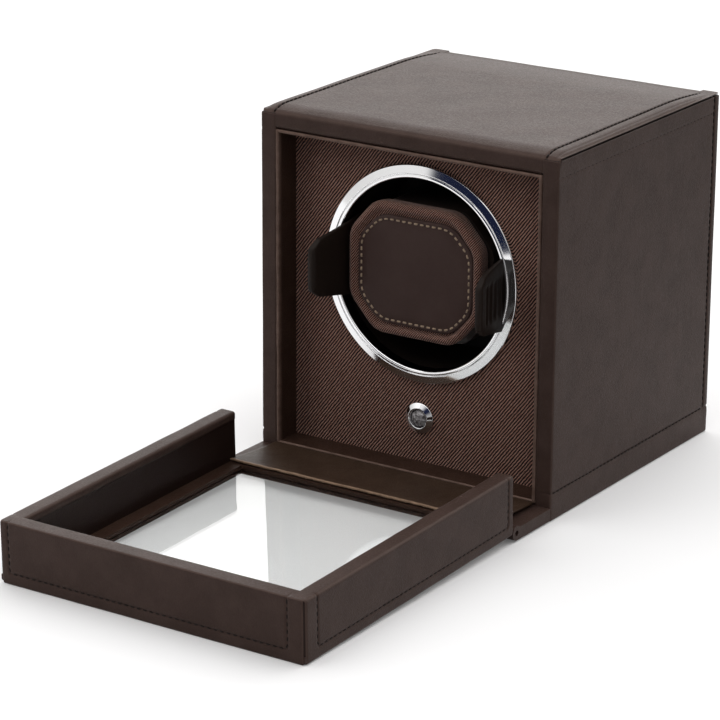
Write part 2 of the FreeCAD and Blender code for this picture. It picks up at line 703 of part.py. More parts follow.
def gear_outline(teeth):
    """The closed outline of an involute gear with stub teeth, a tooth centred on +X.

    Each flank is one arc through three points of the involute. The pressure angle is 25
    degrees and the addendum 0.8 modules, so that a pinion of 12 teeth isn't undercut.
    """
    size = number("sizes.gear_size")
    pressure = math.radians(25)
    pitch_radius = size * teeth / 2
    base_radius = pitch_radius * math.cos(pressure)
    tip_radius = pitch_radius + 0.8 * size
    root_radius = pitch_radius - 1.05 * size
    half_tooth = math.pi / 2 / teeth - number("sizes.tooth_play") / pitch_radius

    def flank_angle(radius):
        """The flank's angle from the tooth's middle at a radius."""
        turn = math.acos(min(1, base_radius / radius))
        return half_tooth + math.tan(pressure) - pressure - (math.tan(turn) - turn)

    def spot(radius, angle):
        return Vector(radius * math.cos(angle), radius * math.sin(angle), 0)

    low_radius = max(base_radius, root_radius)
    mid_radius = (low_radius + tip_radius) / 2
    step = 2 * math.pi / teeth
    edges = []
    for tooth in range(teeth):
        middle = tooth * step
        low, mid, tip = (flank_angle(radius) for radius in (low_radius, mid_radius, tip_radius))
        root_start = spot(root_radius, middle - low)
        if low_radius > root_radius:
            edges.append(Part.LineSegment(root_start, spot(low_radius, middle - low)).toShape())
        for side in (-1, 1):
            ends = [spot(low_radius, middle + side * low), spot(tip_radius, middle + side * tip)]
            if side == 1:
                ends.reverse()
            edges.append(Part.Arc(ends[0], spot(mid_radius, middle + side * mid), ends[1]).toShape())
            if side == -1:
                tips = [spot(tip_radius, middle + turn) for turn in (-tip, 0, tip)]
                edges.append(Part.Arc(*tips).toShape())
        if low_radius > root_radius:
            root_end = spot(root_radius, middle + low)
            edges.append(Part.LineSegment(spot(low_radius, middle + low), root_end).toShape())
        gap = [spot(root_radius, middle + turn) for turn in (low, step / 2, step - low)]
        edges.append(Part.Arc(*gap).toShape())
    return Part.Wire(edges)


def make_gear(name, teeth, bore, front, back, height, turn):
    """A spur gear about a front-to-back axis, one of its teeth turned from +X by an angle."""
    face = Part.Face([gear_outline(teeth), Part.Wire(Part.makeCircle(bore)).reversed()])
    gear = face.extrude(Vector(0, 0, back - front))
    upright_turn = FreeCAD.Rotation(Vector(1, 0, 0), -90)
    spin = FreeCAD.Rotation(Vector(0, 0, 1), turn)
    placement = FreeCAD.Placement(Vector(0, front, height), upright_turn.multiply(spin))
    return set_shape(name, gear, placement)


def make_drum():
    """The drum with its shaft, gear and clip, and the bushes it runs in."""
    cup = new_body("drum_cup")
    bore = "sizes.shaft_radius + sizes.fixed_fit"
    inner = "sizes.drum_radius - sizes.drum_wall"
    revolve(
        cup,
        [
            ("places.drum_front_y", "sizes.drum_radius"),
            ("places.drum_front_y", inner),
            ("places.drum_floor_y", inner),
            ("places.drum_floor_y", bore),
            ("places.gear_front_y", bore),
            ("places.gear_front_y", "sizes.drum_boss_radius"),
            ("places.drum_back_y", "sizes.drum_boss_radius"),
            ("places.drum_back_y", "sizes.drum_radius"),
        ],
        "sizes.ring_height",
    )
    socket_front = "places.drum_floor_y - sizes.foot_socket_depth"
    room_left = "places.tab_x - sizes.tab_travel - sizes.fit_gap"
    room_right = "places.tab_outer_x + sizes.fit_gap"
    room_high = "sizes.foot_half_height + sizes.fit_gap"
    for side in ("", "-"):
        outer = rectangle(
            f"{side}({room_left} - sizes.foot_socket_wall)",
            f"{side}({room_right} + sizes.foot_socket_wall)",
            f"-({room_high} + sizes.foot_socket_wall)",
            f"{room_high} + sizes.foot_socket_wall",
        )
        room = rectangle(f"{side}({room_left})", f"{side}({room_right})", f"-({room_high})", room_high)
        origin = ("0", "sizes.ring_height")
        pad(cup, "XZ", socket_front, "places.drum_floor_y", [outer, room], origin=origin)

    shaft = new_body("drum_shaft")
    revolve(
        shaft,
        [
            ("places.drum_floor_y", "0"),
            ("places.drum_floor_y", "sizes.shaft_radius"),
            ("places.clip_y", "sizes.shaft_radius"),
            ("places.clip_y", "places.groove_radius"),
            ("places.clip_back_y", "places.groove_radius"),
            ("places.clip_back_y", "sizes.shaft_radius"),
            ("places.shaft_back_y", "sizes.shaft_radius"),
            ("places.shaft_back_y", "0"),
        ],
        "sizes.ring_height",
    )

    clip = new_body("shaft_clip")
    groove = "places.groove_radius + sizes.fixed_fit"
    rings = [("0", "0", "sizes.clip_radius"), ("0", "0", groove)]
    origin = ("0", "sizes.ring_height")
    pad(clip, "XZ", "places.clip_y", "places.clip_back_y", circles=rings, origin=origin)
    mouth_low = "-sizes.clip_radius - sizes.overrun"
    mouth = rectangle("-sizes.clip_mouth / 2", "sizes.clip_mouth / 2", mouth_low, "0")
    pocket(clip, "XZ", "places.clip_y", "places.clip_back_y", [mouth], origin=origin)

    for name, front in (
        ("bush_front", "places.boss_front_y"),
        ("bush_rear", "places.boss_back_y - sizes.bush_length"),
    ):
        bush = new_body(name)
        rings = [("0", "0", "sizes.bush_radius"), ("0", "0", "sizes.shaft_radius + sizes.running_fit")]
        pad(bush, "XZ", front, f"{front} + sizes.bush_length", circles=rings, origin=origin)

    make_gear(
        "drum_gear",
        round(number("sizes.gear_teeth")),
        number("sizes.shaft_radius + sizes.fixed_fit"),
        number("places.gear_front_y"),
        number("places.gear_back_y"),
        number("sizes.ring_height"),
        90,
    )


def motor_screw_centres():
    """The two motor screws' places, beside the output shaft."""
    return [f"{side}sizes.motor_screw_offset" for side in ("", "-")]


def make_drive():
    """The chassis, the geared motor, its pinion and its screws."""
    chassis = new_body("chassis_plate")
    outline = rectangle("-places.inner_x", "places.inner_x", "places.floor_z", "places.ceiling_z")
    pad(chassis, "XZ", "places.chassis_y", "places.chassis_back_y", [outline])
    boss = ("0", "sizes.ring_height", "sizes.chassis_boss_radius")
    pad(chassis, "XZ", "places.boss_front_y", "places.boss_back_y", circles=[boss])
    bore = ("0", "sizes.ring_height", "sizes.bush_radius + sizes.fixed_fit")
    pocket(chassis, "XZ", "places.boss_front_y", "places.boss_back_y", circles=[bore])
    screw_hole = "sizes.motor_screw_radius + sizes.screw_clearance"
    holes = [("0", "places.motor_z", "sizes.shaft_hole_radius")]
    holes += [(across, "places.motor_z", screw_hole) for across in motor_screw_centres()]
    pocket(chassis, "XZ", "places.chassis_y", "places.chassis_back_y", circles=holes)

    gearbox = new_body("gearbox")
    ring = ("0", "places.motor_z", "sizes.gearbox_radius")
    pad(gearbox, "XZ", "places.chassis_back_y", "places.gearbox_back_y", circles=[ring])
    shaft_bore = ("0", "places.motor_z", "sizes.motor_shaft_radius + sizes.running_fit")
    shaft_end = "places.chassis_back_y + sizes.motor_shaft_reach"
    pocket(gearbox, "XZ", "places.chassis_back_y", f"{shaft_end} + sizes.fit_gap", circles=[shaft_bore])
    screw_end = "places.chassis_back_y + sizes.motor_screw_reach"
    bores = [(across, "places.motor_z", screw_hole) for across in motor_screw_centres()]
    pocket(gearbox, "XZ", "places.chassis_back_y", f"{screw_end} + sizes.fit_gap", circles=bores)

    motor = new_body("motor_can")
    ring = ("0", "places.motor_z", "sizes.motor_radius")
    pad(motor, "XZ", "places.gearbox_back_y", "places.motor_back_y", circles=[ring])
    rear = "places.motor_back_y"
    round_edges(motor, "sizes.leather_round", lambda edge: lies_at(edge, "Y", rear))

    shaft = new_body("motor_shaft")
    ring = ("0", "places.motor_z", "sizes.motor_shaft_radius")
    pinion_front = "places.gear_front_y - sizes.pinion_overhang"
    pad(shaft, "XZ", pinion_front, shaft_end, circles=[ring])

    tooth_turn = 180 / number("sizes.pinion_teeth")
    make_gear(
        "motor_pinion",
        round(number("sizes.pinion_teeth")),
        number("sizes.motor_shaft_radius + sizes.fixed_fit"),
        number(pinion_front),
        number("places.gear_back_y + sizes.pinion_overhang"),
        number("places.motor_z"),
        90 + tooth_turn,
    )

    screws = []
    for across in motor_screw_centres():
        head = rod(
            "sizes.screw_head_radius",
            "places.chassis_y - sizes.screw_head_height",
            "places.chassis_y",
            across,
            "places.motor_z",
        )
        shank = rod("sizes.motor_screw_radius", "places.chassis_y", screw_end, across, "places.motor_z")
        screws.append(joined(head, shank))
    node(grouped(*screws), "motor_screws")


def circuit_holes():
    """The centres of the circuit board's four holes."""
    return [
        (f"sizes.circuit_x {across} places.circuit_hole_x", f"sizes.circuit_z {along} places.circuit_hole_z")
        for across in "+-"
        for along in "+-"
    ]


def make_electrics():
    """The circuit board on its spacers and the power inlet in the back."""
    circuit = new_body("control_board")
    half_width = "sizes.circuit_width / 2"
    half_height = "sizes.circuit_height / 2"
    outline = rectangle(f"-{half_width}", half_width, f"-{half_height}", half_height)
    origin = ("sizes.circuit_x", "sizes.circuit_z")
    pad(circuit, "XZ", "places.circuit_y", "places.circuit_back_y", [outline], origin=origin)
    hole = "sizes.circuit_screw_radius + sizes.screw_clearance"
    holes = [(across, along, hole) for across, along in circuit_holes()]
    pocket(circuit, "XZ", "places.circuit_y", "places.circuit_back_y", circles=holes)

    spacers = []
    screws = []
    screw_end = "places.circuit_back_y + sizes.circuit_screw_reach"
    for across, along in circuit_holes():
        post = rod("sizes.spacer_radius", "places.circuit_back_y", "places.back_face_y", across, along)
        bore = rod(hole, "places.circuit_back_y", f"{screw_end} + sizes.fit_gap", across, along)
        spacers.append(carved(post, bore))
        head_front = "places.circuit_y - sizes.screw_head_height"
        head = rod("sizes.screw_head_radius", head_front, "places.circuit_y", across, along)
        shank = rod("sizes.circuit_screw_radius", "places.circuit_y", screw_end, across, along)
        screws.append(joined(head, shank))
    node(grouped(*spacers), "board_spacers")
    node(grouped(*screws), "board_screws")

    chip = block(
        "sizes.circuit_x - sizes.chip_side / 2",
        "sizes.circuit_x + sizes.chip_side / 2",
        "places.circuit_y - sizes.chip_height",
        "places.circuit_y",
        "sizes.circuit_z - sizes.chip_side / 2",
        "sizes.circuit_z + sizes.chip_side / 2",
    )
    capacitors = [
        rod(
            "sizes.capacitor_radius",
            "places.circuit_y - sizes.capacitor_height",
            "places.circuit_y",
            "sizes.circuit_x - sizes.chip_side / 2 - 2 * sizes.capacitor_radius",
            f"sizes.circuit_z {along} sizes.capacitor_spread",
        )
        for along in "+-"
    ]
    header_top = "sizes.circuit_z - sizes.chip_side / 2 - sizes.circuit_part_gap"
    header = block(
        "sizes.circuit_x - sizes.plug_socket_width / 2",
        "sizes.circuit_x + sizes.plug_socket_width / 2",
        "places.circuit_y - sizes.plug_socket_depth",
        "places.circuit_y",
        f"{header_top} - sizes.plug_socket_height",
        header_top,
    )
    node(grouped(chip, *capacitors, header), "board_parts")

    inlet = new_body("power_inlet")
    flange_front = "places.back_y - sizes.inlet_flange_thickness"
    front = "places.back_y - sizes.inlet_length"
    bore_front = "places.back_y - sizes.inlet_bore_depth"
    pin_end = "places.back_y - sizes.inlet_pin_inset"
    revolve(
        inlet,
        [
            (front, "0"),
            (front, "sizes.inlet_barrel_radius"),
            (flange_front, "sizes.inlet_barrel_radius"),
            (flange_front, "sizes.inlet_flange_radius"),
            ("places.back_y", "sizes.inlet_flange_radius"),
            ("places.back_y", "sizes.inlet_bore_radius"),
            (bore_front, "sizes.inlet_bore_radius"),
            (bore_front, "sizes.inlet_pin_radius"),
            (pin_end, "sizes.inlet_pin_radius"),
            (pin_end, "0"),
        ],
        "sizes.inlet_z",
        "sizes.inlet_x",
    )

    nut = new_body("inlet_nut")
    half = "sizes.inlet_nut_width / 2"
    corner = f"{half} / cos(30)"
    hexagon = [
        (corner, "0"),
        (f"{corner} / 2", half),
        (f"-{corner} / 2", half),
        (f"-{corner}", "0"),
        (f"-{corner} / 2", f"-{half}"),
        (f"{corner} / 2", f"-{half}"),
    ]
    ring = ("0", "0", "sizes.inlet_barrel_radius + sizes.fixed_fit")
    nut_front = "places.back_face_y - sizes.inlet_nut_thickness"
    origin = ("sizes.inlet_x", "sizes.inlet_z")
    pad(nut, "XZ", nut_front, "places.back_face_y", [hexagon], [ring], origin=origin)


def make_hinge():
    """The hinge board under the case front, its pin, the lid's barrel and the cover strip."""
    slab = block(
        "-places.edge_x",
        "places.edge_x",
        "places.barrel_back_y",
        "places.front_y",
        "sizes.felt_thickness",
        "places.hinge_board_top_z",
    )
    ends = []
    bores = []
    for left, right in (
        ("sizes.barrel_half_length + sizes.fit_gap", "places.edge_x"),
        ("-places.edge_x", "-sizes.barrel_half_length - sizes.fit_gap"),
    ):
        web = block(
            left,
            right,
            "places.hinge_y",
            "places.barrel_back_y",
            "sizes.felt_thickness",
            "places.hinge_board_top_z",
        )
        knuckle = cross_rod("sizes.hinge_radius", left, right, "places.hinge_y", "places.hinge_z")
        ends += [web, knuckle]
        bores.append(
            cross_rod("sizes.pin_radius + sizes.fixed_fit", left, right, "places.hinge_y", "places.hinge_z")
        )
    node(carved(joined(slab, *ends), *bores), "hinge_board")

    pin_end = "places.edge_x - sizes.pin_inset"
    pin = cross_rod("sizes.pin_radius", f"-({pin_end})", pin_end, "places.hinge_y", "places.hinge_z")
    node(pin, "hinge_pin")

    length = "sizes.barrel_half_length"
    barrel = cross_rod("sizes.hinge_radius", f"-{length}", length, "0", "0")
    leaf = block(f"-{length}", length, "-sizes.leaf_reach", "0", "0", "sizes.leaf_thickness")
    bore = cross_rod("sizes.pin_radius + sizes.running_fit", f"-{length}", length, "0", "0")
    set_on_lid(node(carved(joined(barrel, leaf), bore), "lid_hinge"))

    cover = new_body("hinge_cover")
    low = "places.hinge_board_top_z"
    barrel_top = "places.hinge_z + sizes.hinge_radius + sizes.cover_clearance"
    near_up = "(sizes.lid_near_gap - sizes.cover_clearance)"
    ledge_up = "(sizes.lid_near_gap + sizes.window_near)"
    points = [
        ("places.liner_front_y - sizes.fit_gap", low),
        ("places.barrel_back_y + sizes.hinge_radius", low),
        ("places.hinge_y + sizes.hinge_radius / 2", barrel_top),
        on_lid(near_up, "places.retainer_top_z"),
        on_lid(ledge_up, "places.retainer_top_z"),
    ]
    thick = "sizes.cover_thickness"
    upper = [(across, f"{along} + {thick}") for across, along in reversed(points)]
    edge = "places.wall_inner_x - sizes.fit_gap"
    pad(cover, "YZ", f"-({edge})", edge, [points + upper])


def on_lid(reach, level):
    """A point of the open lid, by its reach from the hinge axis and its level on the lid."""
    return (
        f"places.hinge_y - {reach} * cos(places.lid_tilt) - {level} * sin(places.lid_tilt)",
        f"places.hinge_z - {reach} * sin(places.lid_tilt) + {level} * cos(places.lid_tilt)",
    )


def cross_rod(radius, left, right, along, height):
    """A cylinder from side to side."""
    item = doc.addObject("Part::Cylinder", "cross_rod")
    item.setExpression("Radius", radius)
    item.setExpression("Height", f"({right}) - ({left})")
    item.setExpression("Placement.Rotation.Axis.y", "1")
    item.setExpression("Placement.Rotation.Axis.z", "0")
    item.setExpression("Placement.Rotation.Angle", "90")
    for axis, place in (("x", left), ("y", along), ("z", height)):
        item.setExpression(f"Placement.Base.{axis}", place)
    return item


def make_lid():
    """The lid, in its own axes: the hinge axis is the origin and the window lies level."""
    face = new_body("lid_face_frame")
    far = "-places.lid_reach"
    outline = rectangle("-places.edge_x", "places.edge_x", far, "places.lid_near_y")
    window = rectangle("-places.window_x", "places.window_x", "places.window_far_y", "places.window_near_y")
    pad(face, "XY", "0", "sizes.face_thickness", [outline, window])
    near_edge = "places.lid_near_y"
    round_edges(
        face,
        "sizes.leather_round",
        lambda edge: lies_at(edge, "Z", "0")
        and any(lies_at(edge, axis, place) for axis, place in (
            ("X", "places.edge_x"), ("X", "-places.edge_x"), ("Y", far))),
    )
    rabbet = rectangle(
        "-places.window_x - sizes.rabbet_width",
        "places.window_x + sizes.rabbet_width",
        "places.window_far_y - sizes.rabbet_width",
        "places.window_near_y + sizes.rabbet_width",
    )
    pocket(face, "XY", "places.rabbet_z", "sizes.face_thickness", [rabbet])
    recess = rectangle(
        "-sizes.barrel_half_length - sizes.fit_gap",
        "sizes.barrel_half_length + sizes.fit_gap",
        "-sizes.leaf_reach - sizes.fit_gap",
        f"{near_edge} + sizes.overrun",
    )
    pocket(face, "XY", "0", "sizes.leaf_thickness", [recess])
    set_on_lid(face)

    glass = new_body("lid_glass")
    rabbet_play = "sizes.rabbet_width - sizes.glass_play"
    sheet = rectangle(
        f"-places.window_x - ({rabbet_play})",
        f"places.window_x + ({rabbet_play})",
        f"places.window_far_y - ({rabbet_play})",
        f"places.window_near_y + ({rabbet_play})",
    )
    pad(glass, "XY", "places.rabbet_z", "sizes.face_thickness", [sheet])
    set_on_lid(glass)

    retainer = new_body("glass_retainer")
    edge = "places.wall_inner_x - sizes.retainer_play"
    outline = rectangle(f"-({edge})", edge, "places.wall_near_y + sizes.retainer_play", "places.lid_near_y")
    pad(retainer, "XY", "sizes.face_thickness", "places.retainer_top_z", [outline, window])
    set_on_lid(retainer)

    wall = new_body("lid_wall_right")
    outline = rectangle("places.wall_inner_x", "places.edge_x", "places.wall_near_y", "places.lid_near_y")
    pad(wall, "XY", "sizes.face_thickness", "sizes.lid_depth", [outline])
    round_edges(
        wall,
        "sizes.leather_round",
        lambda edge: runs_along(edge, "Y") and lies_at(edge, "Z", "sizes.lid_depth"),
    )
    magnet_low = "sizes.lid_depth - sizes.magnet_thickness"
    hole = ("places.magnet_x", "places.lid_magnet_y", "sizes.magnet_radius + sizes.fixed_fit")
    pocket(wall, "XY", magnet_low, "sizes.lid_depth", circles=[hole])
    set_on_lid(wall)
    mirrored(wall, "lid_wall_left")

    wall = new_body("lid_wall_top")
    outline = rectangle("-places.edge_x", "places.edge_x", far, "places.wall_near_y")
    pad(wall, "XY", "sizes.face_thickness", "sizes.lid_depth", [outline])
    round_edges(
        wall,
        "sizes.leather_round",
        lambda edge: not lies_at(edge, "Z", "sizes.face_thickness")
        and (lies_at(edge, "Z", "sizes.lid_depth") or lies_at(edge, "Y", far))
        and not (runs_along(edge, "Y") and lies_at(edge, "Z", "sizes.lid_depth")),
    )
    set_on_lid(wall)

    discs = [
        upright("sizes.magnet_radius", magnet_low, "sizes.lid_depth", across, "places.lid_magnet_y")
        for across in ("places.magnet_x", "-places.magnet_x")
    ]
    set_on_lid(node(grouped(*discs), "lid_magnets"))


def rounded_octagon(inset, along):
    """An upright wire round the pad, drawn in by an inset, with arcs at its eight corners."""
    half_width = number("sizes.pad_half_width") - inset
    half_height = number("sizes.pad_half_height") - inset
    top_half = number("sizes.pad_top_half") - inset * number("sizes.pad_corner_draw")
    side_half = number("sizes.pad_side_half") - inset * number("sizes.pad_corner_draw")
    corners = [(half_width, side_half), (top_half, half_height), (-top_half, half_height)]
    corners += [(-half_width, side_half)]
    corners += [(across, -high) for across, high in reversed(corners)]
    spots = [Vector(across, along, high + number("sizes.ring_height")) for across, high in corners]
    radius = number("sizes.pad_corner")
    lines = []
    arcs = []
    for turn, spot in enumerate(spots):
        before = (spots[turn - 1] - spot).normalize()
        after = (spots[(turn + 1) % len(spots)] - spot).normalize()
        half_angle = before.getAngle(after) / 2
        cut = radius / math.tan(half_angle)
        middle = (before + after).normalize() * (radius / math.sin(half_angle) - radius)
        arcs.append(Part.Arc(spot + before * cut, spot + middle, spot + after * cut))
    for turn, arc in enumerate(arcs):
        following = arcs[(turn + 1) % len(arcs)]
        lines += [arc.toShape(), Part.LineSegment(arc.EndPoint, following.StartPoint).toShape()]
    return Part.Wire(lines)


def make_cuff():
    """The watch cuff's plate, pad and core."""
    origin = ("0", "sizes.ring_height")
    plate = new_body("cuff_plate")
    outline = octagon(
        "sizes.plate_half_width", "sizes.plate_half_height", "sizes.plate_top_half", "sizes.plate_side_half"
    )
    pad(plate, "XZ", "places.plate_y", "places.pad_y", [outline], origin=origin)
    round_edges(plate, "sizes.plate_corner", lambda edge: runs_along(edge, "Y"))

    front = number("places.pad_y")
    depth = number("sizes.pad_depth")
    draw = number("sizes.pad_draw")
    sections = ((draw, 0), (0, number("sizes.pad_crest")), (draw, 1))
    wires = [rounded_octagon(inset, front + share * depth) for inset, share in sections]
    set_shape("cuff_pad", Part.makeLoft(wires, True, False))

    core = new_body("cuff_core")
    outline = octagon(
        "sizes.core_half_width", "sizes.core_half_height", "sizes.core_top_half", "sizes.core_side_half"
    )
    pad(core, "XZ", "places.core_y", "places.core_back_y", [outline], origin=origin)
    round_edges(core, "sizes.pad_corner", lambda edge: runs_along(edge, "Y"))
    high = "sizes.stem_half_height + sizes.fit_gap"
    slot_mouth = "sizes.core_half_width + sizes.overrun"
    slots = [
        rectangle(f"{side}({slot_mouth})", f"{side}places.spring_end_x", f"-({high})", high)
        for side in ("", "-")
    ]
    slot_front = "places.stem_y - sizes.fit_gap"
    slot_back = "places.stem_back_y + sizes.fit_gap"
    pocket(core, "XZ", slot_front, slot_back, slots, origin=origin)


def make_tabs():
    """The cuff's two side tabs, each with its foot and stem, and their springs."""
    profile = new_body("tab outline")
    nodes.pop()
    root = "places.tab_root_y"
    tip = "places.tab_tip_y"
    shoulder = "places.front_y - sizes.tab_shoulder_y"
    outline = [
        (root, "sizes.tab_root_half"),
        (shoulder, "sizes.tab_shoulder_half"),
        (tip, "sizes.tab_tip_half"),
        (tip, "-sizes.tab_tip_half"),
        (shoulder, "-sizes.tab_shoulder_half"),
        (root, "-sizes.tab_root_half"),
    ]
    far_x = "places.tab_outer_x + sizes.tab_flare + sizes.overrun"
    pad(profile, "YZ", "places.tab_x - sizes.overrun", far_x, [outline], origin=("0", "sizes.ring_height"))
    round_edges(
        profile,
        "sizes.tab_corner",
        lambda edge: runs_along(edge, "X") and not lies_at(edge, "Y", root),
    )

    sweep = new_body("tab flare")
    nodes.pop()
    flare_y = "(places.tab_root_y + places.tab_tip_y) / 2"
    end_y = f"{tip} - sizes.overrun"
    faces = [
        ("places.tab_x", root),
        ("places.tab_x + sizes.tab_bow - sizes.tab_tip_extra / 2", flare_y),
        ("places.tab_x + sizes.tab_flare - sizes.tab_tip_extra", end_y),
        ("places.tab_outer_x + sizes.tab_flare", end_y),
        ("places.tab_outer_x + sizes.tab_bow", flare_y),
        ("places.tab_outer_x", root),
    ]
    low = "sizes.ring_height - sizes.tab_root_half - sizes.overrun"
    high = "sizes.ring_height + sizes.tab_root_half + sizes.overrun"
    pad(sweep, "XY", low, high, [faces])

    wing = doc.addObject("Part::Common", "wing")
    wing.Base = profile
    wing.Tool = sweep
    foot = block(
        "places.tab_x",
        "places.tab_outer_x",
        root,
        "places.foot_y",
        "sizes.ring_height - sizes.foot_half_height",
        "sizes.ring_height + sizes.foot_half_height",
    )
    stem = block(
        "places.stem_x",
        "places.tab_x",
        "places.stem_y",
        "places.stem_back_y",
        "sizes.ring_height - sizes.stem_half_height",
        "sizes.ring_height + sizes.stem_half_height",
    )
    tab = node(joined(wing, foot, stem), "cuff_tab_right")
    mirrored(tab, "cuff_tab_left")

    for name, side in (("tab_spring_right", 1), ("tab_spring_left", -1)):
        start = Vector(
            side * number("places.spring_end_x"),
            number("places.stem_y + sizes.stem_width / 2"),
            number("sizes.ring_height"),
        )
        turn = FreeCAD.Rotation(Vector(0, side, 0), 90)
        make_spring(
            name, "sizes.spring_radius", "sizes.spring_pitch", "sizes.spring_room", start, turn
        )


def check_document():
    """Stops before anything is written if a feature failed or a piece isn't sound."""
    doc.recompute()
    for item in doc.Objects:
        if "Invalid" in item.State or "Error" in item.State:
            raise ValueError(f"{item.Label} could not be worked out")
    for item in nodes:
        if item.Shape.isNull() or not item.Shape.isValid() or not item.Shape.Solids:
            raise ValueError(f"{item.Label} has no sound solid")


make_case()
make_front()
make_button()
make_drum()
make_drive()
make_electrics()
make_hinge()
make_lid()
make_cuff()
make_tabs()
check_document()
os.makedirs("parts", exist_ok=True)
for item in nodes:
    item.Shape.exportStep(os.path.join("parts", item.Label + ".step"))
print(len(nodes), "pieces written")
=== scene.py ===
"""Looks of a leather-covered watch winder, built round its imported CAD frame."""

import json
import math

import bmesh
import bpy
import numpy as np
from mathutils import Matrix, Vector


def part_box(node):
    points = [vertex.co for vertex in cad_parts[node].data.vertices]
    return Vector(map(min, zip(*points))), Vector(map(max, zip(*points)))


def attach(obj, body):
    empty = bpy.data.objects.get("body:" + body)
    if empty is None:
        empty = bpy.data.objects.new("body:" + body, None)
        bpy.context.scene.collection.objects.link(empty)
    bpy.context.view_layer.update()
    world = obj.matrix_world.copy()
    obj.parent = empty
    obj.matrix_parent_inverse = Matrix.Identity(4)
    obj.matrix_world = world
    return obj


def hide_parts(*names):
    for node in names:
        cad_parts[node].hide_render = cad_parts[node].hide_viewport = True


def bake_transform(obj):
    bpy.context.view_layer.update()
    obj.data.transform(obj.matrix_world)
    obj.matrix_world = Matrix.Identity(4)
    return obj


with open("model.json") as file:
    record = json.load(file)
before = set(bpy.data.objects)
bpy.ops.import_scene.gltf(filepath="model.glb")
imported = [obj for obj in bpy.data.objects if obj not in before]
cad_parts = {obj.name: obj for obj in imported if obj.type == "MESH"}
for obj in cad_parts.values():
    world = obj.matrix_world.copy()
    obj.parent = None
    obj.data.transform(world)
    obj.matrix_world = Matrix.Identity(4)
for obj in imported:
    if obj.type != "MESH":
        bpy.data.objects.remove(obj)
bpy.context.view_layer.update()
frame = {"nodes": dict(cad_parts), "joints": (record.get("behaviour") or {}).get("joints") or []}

# Sizes and places below are in millimetres, in the frame of the CAD.
MM = 0.001


def node_box(name):
    """The lowest and highest corners of a CAD node."""
    low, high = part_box(name)
    return np.array(low) / MM, np.array(high) / MM


CASE_LOW, CASE_HIGH = node_box("case_top")
SIDE_LOW = node_box("case_side_right")[0]
BOARD_LOW = node_box("front_panel")[0]
LINER_LOW, LINER_HIGH = node_box("liner_frame")
RING_LOW, RING_HIGH = node_box("bezel_ring")
BUTTON_LOW, BUTTON_HIGH = node_box("button_ring")
CAP_LOW, CAP_HIGH = node_box("button_cap")
STRIP_LOW, STRIP_HIGH = node_box("hinge_cover")
PAD_HIGH = node_box("cuff_pad")[1]
PLATE_LOW, PLATE_HIGH = node_box("cuff_plate")

FRONT_Y = CASE_LOW[1]
BACK_Y = CASE_HIGH[1]
EDGE_X = CASE_HIGH[0]
TOP_Z = CASE_HIGH[2]
CEILING_Z = LINER_HIGH[2]
RING_Z = (RING_LOW[2] + RING_HIGH[2]) / 2
BUTTON_Z = (BUTTON_LOW[2] + BUTTON_HIGH[2]) / 2

# Wear is 0 to 1 where leather is rubbed pale. Below nought the leather is near-black: painted shade in the
# gap under the top's folds and in the lid's wall crease, and the darkened inner faces of the lid below its
# lining's edge.
DARK_INSIDE_AND_SHADE = -0.9

# The lid lies open, tipped a little about its hinge. Its reach runs from the hinge to the outer face
# of its far wall, and its depth is the height of its walls.
hinge = next(joint for joint in frame["joints"] if joint["name"] == "lid_hinge")
HINGE_Y, HINGE_Z = hinge["pos_m"][1] / MM, hinge["pos_m"][2] / MM
LID_TILT = hinge["range_deg"][1] - 90
LID_REACH = TOP_Z - HINGE_Z
LID_DEPTH = 27.2
LID_WALL = 7.5
LID_NEAR = 4.4


# Shapes


def grid(rows, columns, ring=False):
    """Quads of a grid of points, row by row. A ring joins its last column to its first."""
    row = np.arange(rows - 1)[:, None] * columns
    column = np.arange(columns if ring else columns - 1)[None, :]
    following = (column + 1) % columns
    corners = (row + column, row + following, row + columns + following, row + columns + column)
    return np.stack(corners, -1).reshape(-1, 4)


def joined(*parts):
    """Several (points, faces, wear) surfaces as one."""
    points, faces, wear_and_shade, count = [], [], [], 0
    for part_points, part_faces, part_wear in parts:
        points.append(part_points)
        faces.append(part_faces + count)
        wear_and_shade.append(part_wear)
        count += len(part_points)
    return np.concatenate(points), np.concatenate(faces), np.concatenate(wear_and_shade)


def piece(name, surface, look, body, replaced=(), cloth=None):
    """A mesh object of a closed surface, which rides on a body and may stand for CAD nodes."""
    points, faces, wear_and_shade = surface
    mesh = bpy.data.meshes.new(name)
    mesh.from_pydata((points * MM).tolist(), [], faces.tolist())
    mesh.attributes.new("wear_and_shade", "FLOAT", "POINT").data.foreach_set("value", wear_and_shade.astype(np.float32))
    if cloth is not None:
        layer = mesh.uv_layers.new(name="cloth")
        corner = np.empty(len(mesh.loops), dtype=np.int32)
        mesh.loops.foreach_get("vertex_index", corner)
        layer.data.foreach_set("uv", cloth[corner].astype(np.float32).ravel())
    work = bmesh.new()
    work.from_mesh(mesh)
    bmesh.ops.remove_doubles(work, verts=work.verts, dist=1e-7)
    bmesh.ops.recalc_face_normals(work, faces=work.faces)
    work.to_mesh(mesh)
    work.free()
    mesh.shade_smooth()
    mesh.materials.append(look)
    item = bpy.data.objects.new(name, mesh)
    bpy.context.scene.collection.objects.link(item)
    if body:
        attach(item, body)
    if replaced:
        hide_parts(*replaced)
    return item


def near(distance, width):
    """A soft bump, 1 on a line and falling to 0 a few widths away from it."""
    return np.exp(-((distance / width) ** 2))


def step_up(value, low, high):
    """A smooth step from 0 at low to 1 at high."""
    share = np.clip((value - low) / (high - low), 0, 1)
    return share * share * (3 - 2 * share)


def ripple(points, size, seed):
    """Gentle waves: the mean of eight plane waves in random directions, about size apart."""
    random = np.random.default_rng(seed)
    way = random.normal(size=(8, 3))
    lengths = np.linalg.norm(way, axis=1, keepdims=True)
    way *= (2 * math.pi / size) * random.uniform(0.7, 1.4, (8, 1)) / lengths
    return np.sin(points @ way.T + random.uniform(0, 2 * math.pi, 8)).mean(axis=1)


